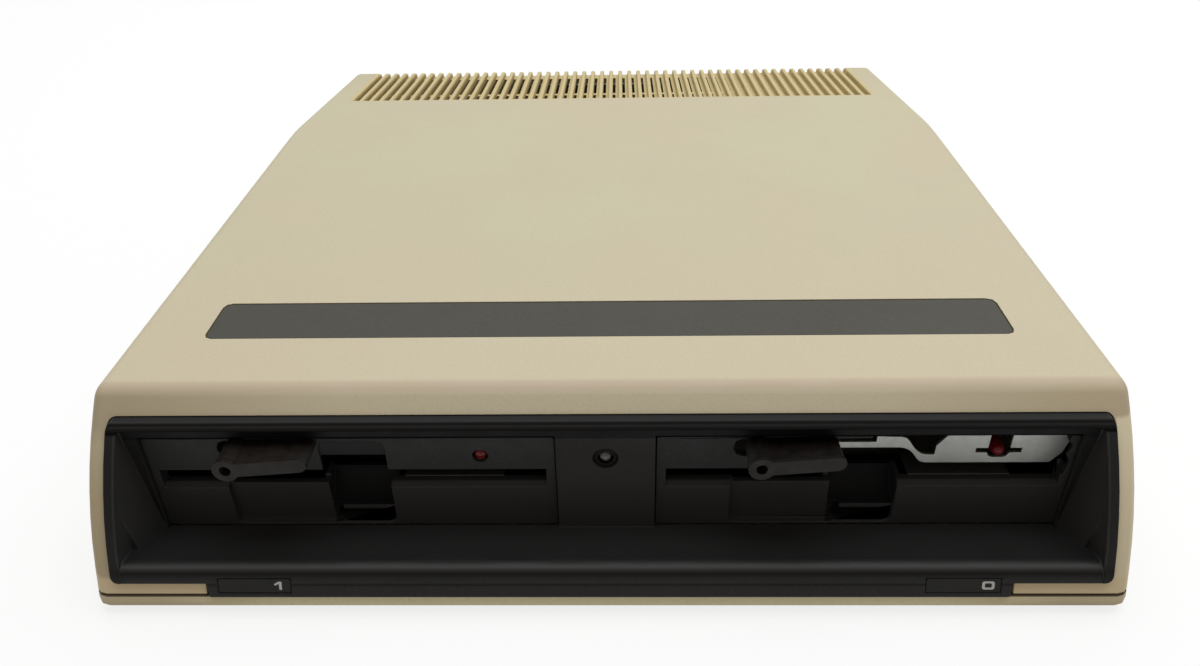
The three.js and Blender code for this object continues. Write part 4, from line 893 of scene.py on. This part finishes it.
# Painted shade: the collar is near black, as the shade in the well.
collar_shade_black = moulded(
    "collar_shade_black", (0.004, 0.004, 0.004), (0.006, 0.006, 0.006), (0.012, 0.012, 0.012),
    (0.45, 0.6), grain=1800, depth=0.00001, level=0.12, blotch=80,
)
lens_middle = box_middle("power_led")
lens_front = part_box("power_led")[0].y
collar = bmesh.new()
collar_profile = [
    (0.00262, 0.0017), (0.00262, 0.0007), (0.0029, 0.0004), (0.0036, 0.0004), (0.0041, 0.0007),
    (0.00425, 0.0012), (0.00425, 0.0017),
]
lathe(collar, collar_profile, Matrix.Translation((lens_middle.x, lens_front, lens_middle.z)), 40)
add_piece("light_collar", collar, collar_shade_black, "root", 40)

# Top cover. The large beige moulding drops over everything and is screwed up from below.
# Its rear slope is a field of ribs, with narrow slots against the left wall of each groove.
# The colour has yellowed there, and brown glue shows round the name strip. Painted shade
# darkens the lower front, the rounded front edge, both ends of the front, the vent slots,
# the left walls of the grooves on the left and the seam; painted light brightens the right
# cheek and the band at the foot of the front.
beige_pale = (0.578, 0.537, 0.378)
beige_pink = (0.590, 0.510, 0.372)
beige_front = (0.600, 0.515, 0.370)
beige_low_painted_shade = (0.545, 0.455, 0.300)
beige_vent = (0.625, 0.505, 0.26)
beige_speck = (0.50, 0.44, 0.30)
glue_brown = (0.16, 0.12, 0.075)
beige_edge_painted_shade = (0.535, 0.43, 0.315)
beige_left_painted_shade = (0.46, 0.375, 0.255)
beige_right_painted_shade = (0.51, 0.42, 0.285)
beige_cheek_painted_light = (0.78, 0.69, 0.49)
beige_foot_painted_light = (0.78, 0.65, 0.43)
slot_painted_shade = (0.17, 0.12, 0.055)
groove_painted_shade = (0.33, 0.24, 0.11)
glue_width = 0.0006
vent_fall = math.tan(math.radians(5.7))
groove_floor = 0.0717
strip_low, strip_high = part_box("nameplate")
case_plastic, case_tree, case_shader = new_material("case_plastic")
vent_field = inside(
    case_tree, (("X", -0.162, 0.162), ("Z", 0.025, 0.08), ("Y", 0.131, 0.211)), 0.0006,
)
glue_line = inside(case_tree, (
    ("X", strip_low.x - glue_width, strip_high.x + glue_width),
    ("Y", strip_low.y - glue_width, strip_high.y + glue_width),
    ("Z", 0.05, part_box("top_cover")[1].z - 0.0001),
), 0.00005)
# Painted shade on the rounded front edge and on both ends of the front, the left end darker.
above_bezel = inside(case_tree, (("Y", -0.2, -0.166), ("Z", 0.056, 0.072)), 0.003)
top_edge_shade = product(case_tree, above_bezel, facing(case_tree, "Y", -0.55, -0.1, 0.1))
brow = product(case_tree, above_bezel, facing_front(case_tree))
# Painted light on the right cheek.
right_cheek_light = inside(
    case_tree, (("X", 0.1709, 0.2), ("Y", -0.25, -0.16), ("Z", 0.008, 0.06)), 0.0006,
)
# Painted light on the band at the foot of the front.
foot_band_light = product(
    case_tree, inside(case_tree, (("Y", -0.23, -0.2), ("Z", 0.004, 0.0135)), 0.0008),
    facing_front(case_tree),
)
# Painted shade in the vent slots, and on the left walls of the grooves on the left half.
vent_height = calculated(
    case_tree, "MULTIPLY_ADD", coordinate(case_tree, "Y"), vent_fall, coordinate(case_tree, "Z"),
)
slot_wall_shade = product(case_tree, vent_field, ranged(
    case_tree, vent_height, 0, 1, groove_floor - 0.0001, groove_floor - 0.0003,
))
groove_wall_shade = product(
    case_tree, vent_field,
    ranged(case_tree, vent_height, 0, 1, groove_floor + 0.0026, groove_floor + 0.0014),
    facing(case_tree, "X", 0.7, 1.5, 0.15), slope_along(case_tree, "X", -0.02, -0.12),
)
case_tone = layered(case_tree, clouded(case_tree, case_cloud, beige_pale, beige_pink), (
    (slope_along(case_tree, "Y", -0.06, -0.19), beige_front),
    # Painted shade: darker towards the bottom.
    (slope_along(case_tree, "Z", 0.064, 0.04), beige_low_painted_shade),
    (vent_field, beige_vent),
    (specks(case_tree, 900, 0.4), beige_speck),
    (glue_line, glue_brown),
    (top_edge_shade, beige_edge_painted_shade),
    (product(case_tree, brow, slope_along(case_tree, "X", -0.09, -0.165)), beige_left_painted_shade),
    (product(case_tree, brow, slope_along(case_tree, "X", 0.09, 0.165)), beige_right_painted_shade),
    (right_cheek_light, beige_cheek_painted_light),
    (foot_band_light, beige_foot_painted_light),
    # Painted shade in the seam above the tray.
    (inside(case_tree, (("Z", 0.0066, 0.0081),), seam_shade_soft), seam_painted_shade),
    (slot_wall_shade, slot_painted_shade),
    (groove_wall_shade, groove_painted_shade),
))
plastic_skin(case_tree, case_shader, case_tone, **case_finish)
finish_node("top_cover", case_plastic, 0.0003)

# Name strip. A bare strip of olive-grey plastic, worn a little shiny. It is glued into a
# shallow recess in the cover.
strip_plastic = moulded(
    "strip_plastic", (0.066, 0.062, 0.053), (0.073, 0.068, 0.058), (0.088, 0.081, 0.07),
    (0.34, 0.46), grain=1200, depth=0.00001, level=0.22, blotch=20,
)
finish_node("nameplate", strip_plastic, 0.0002)

# Case screws. Four bright steel screws with cross-slotted heads go up through the tray into
# bosses in the cover.
for number in range(1, 5):
    name = "case_screw_" + str(number)
    finish_node(name, bright_steel, 0.0001, limit=50)
    screw_middle = box_middle(name)
    screw_foot = Matrix.Translation((screw_middle.x, screw_middle.y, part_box(name)[0].z))
    head = bmesh.new()
    cross_screw(head, small_screw_radius, screw_foot @ Matrix.Rotation(math.pi / 2, 4, "X"))
    add_piece("case_screw_head_" + str(number), head, bright_steel, "root", 40)
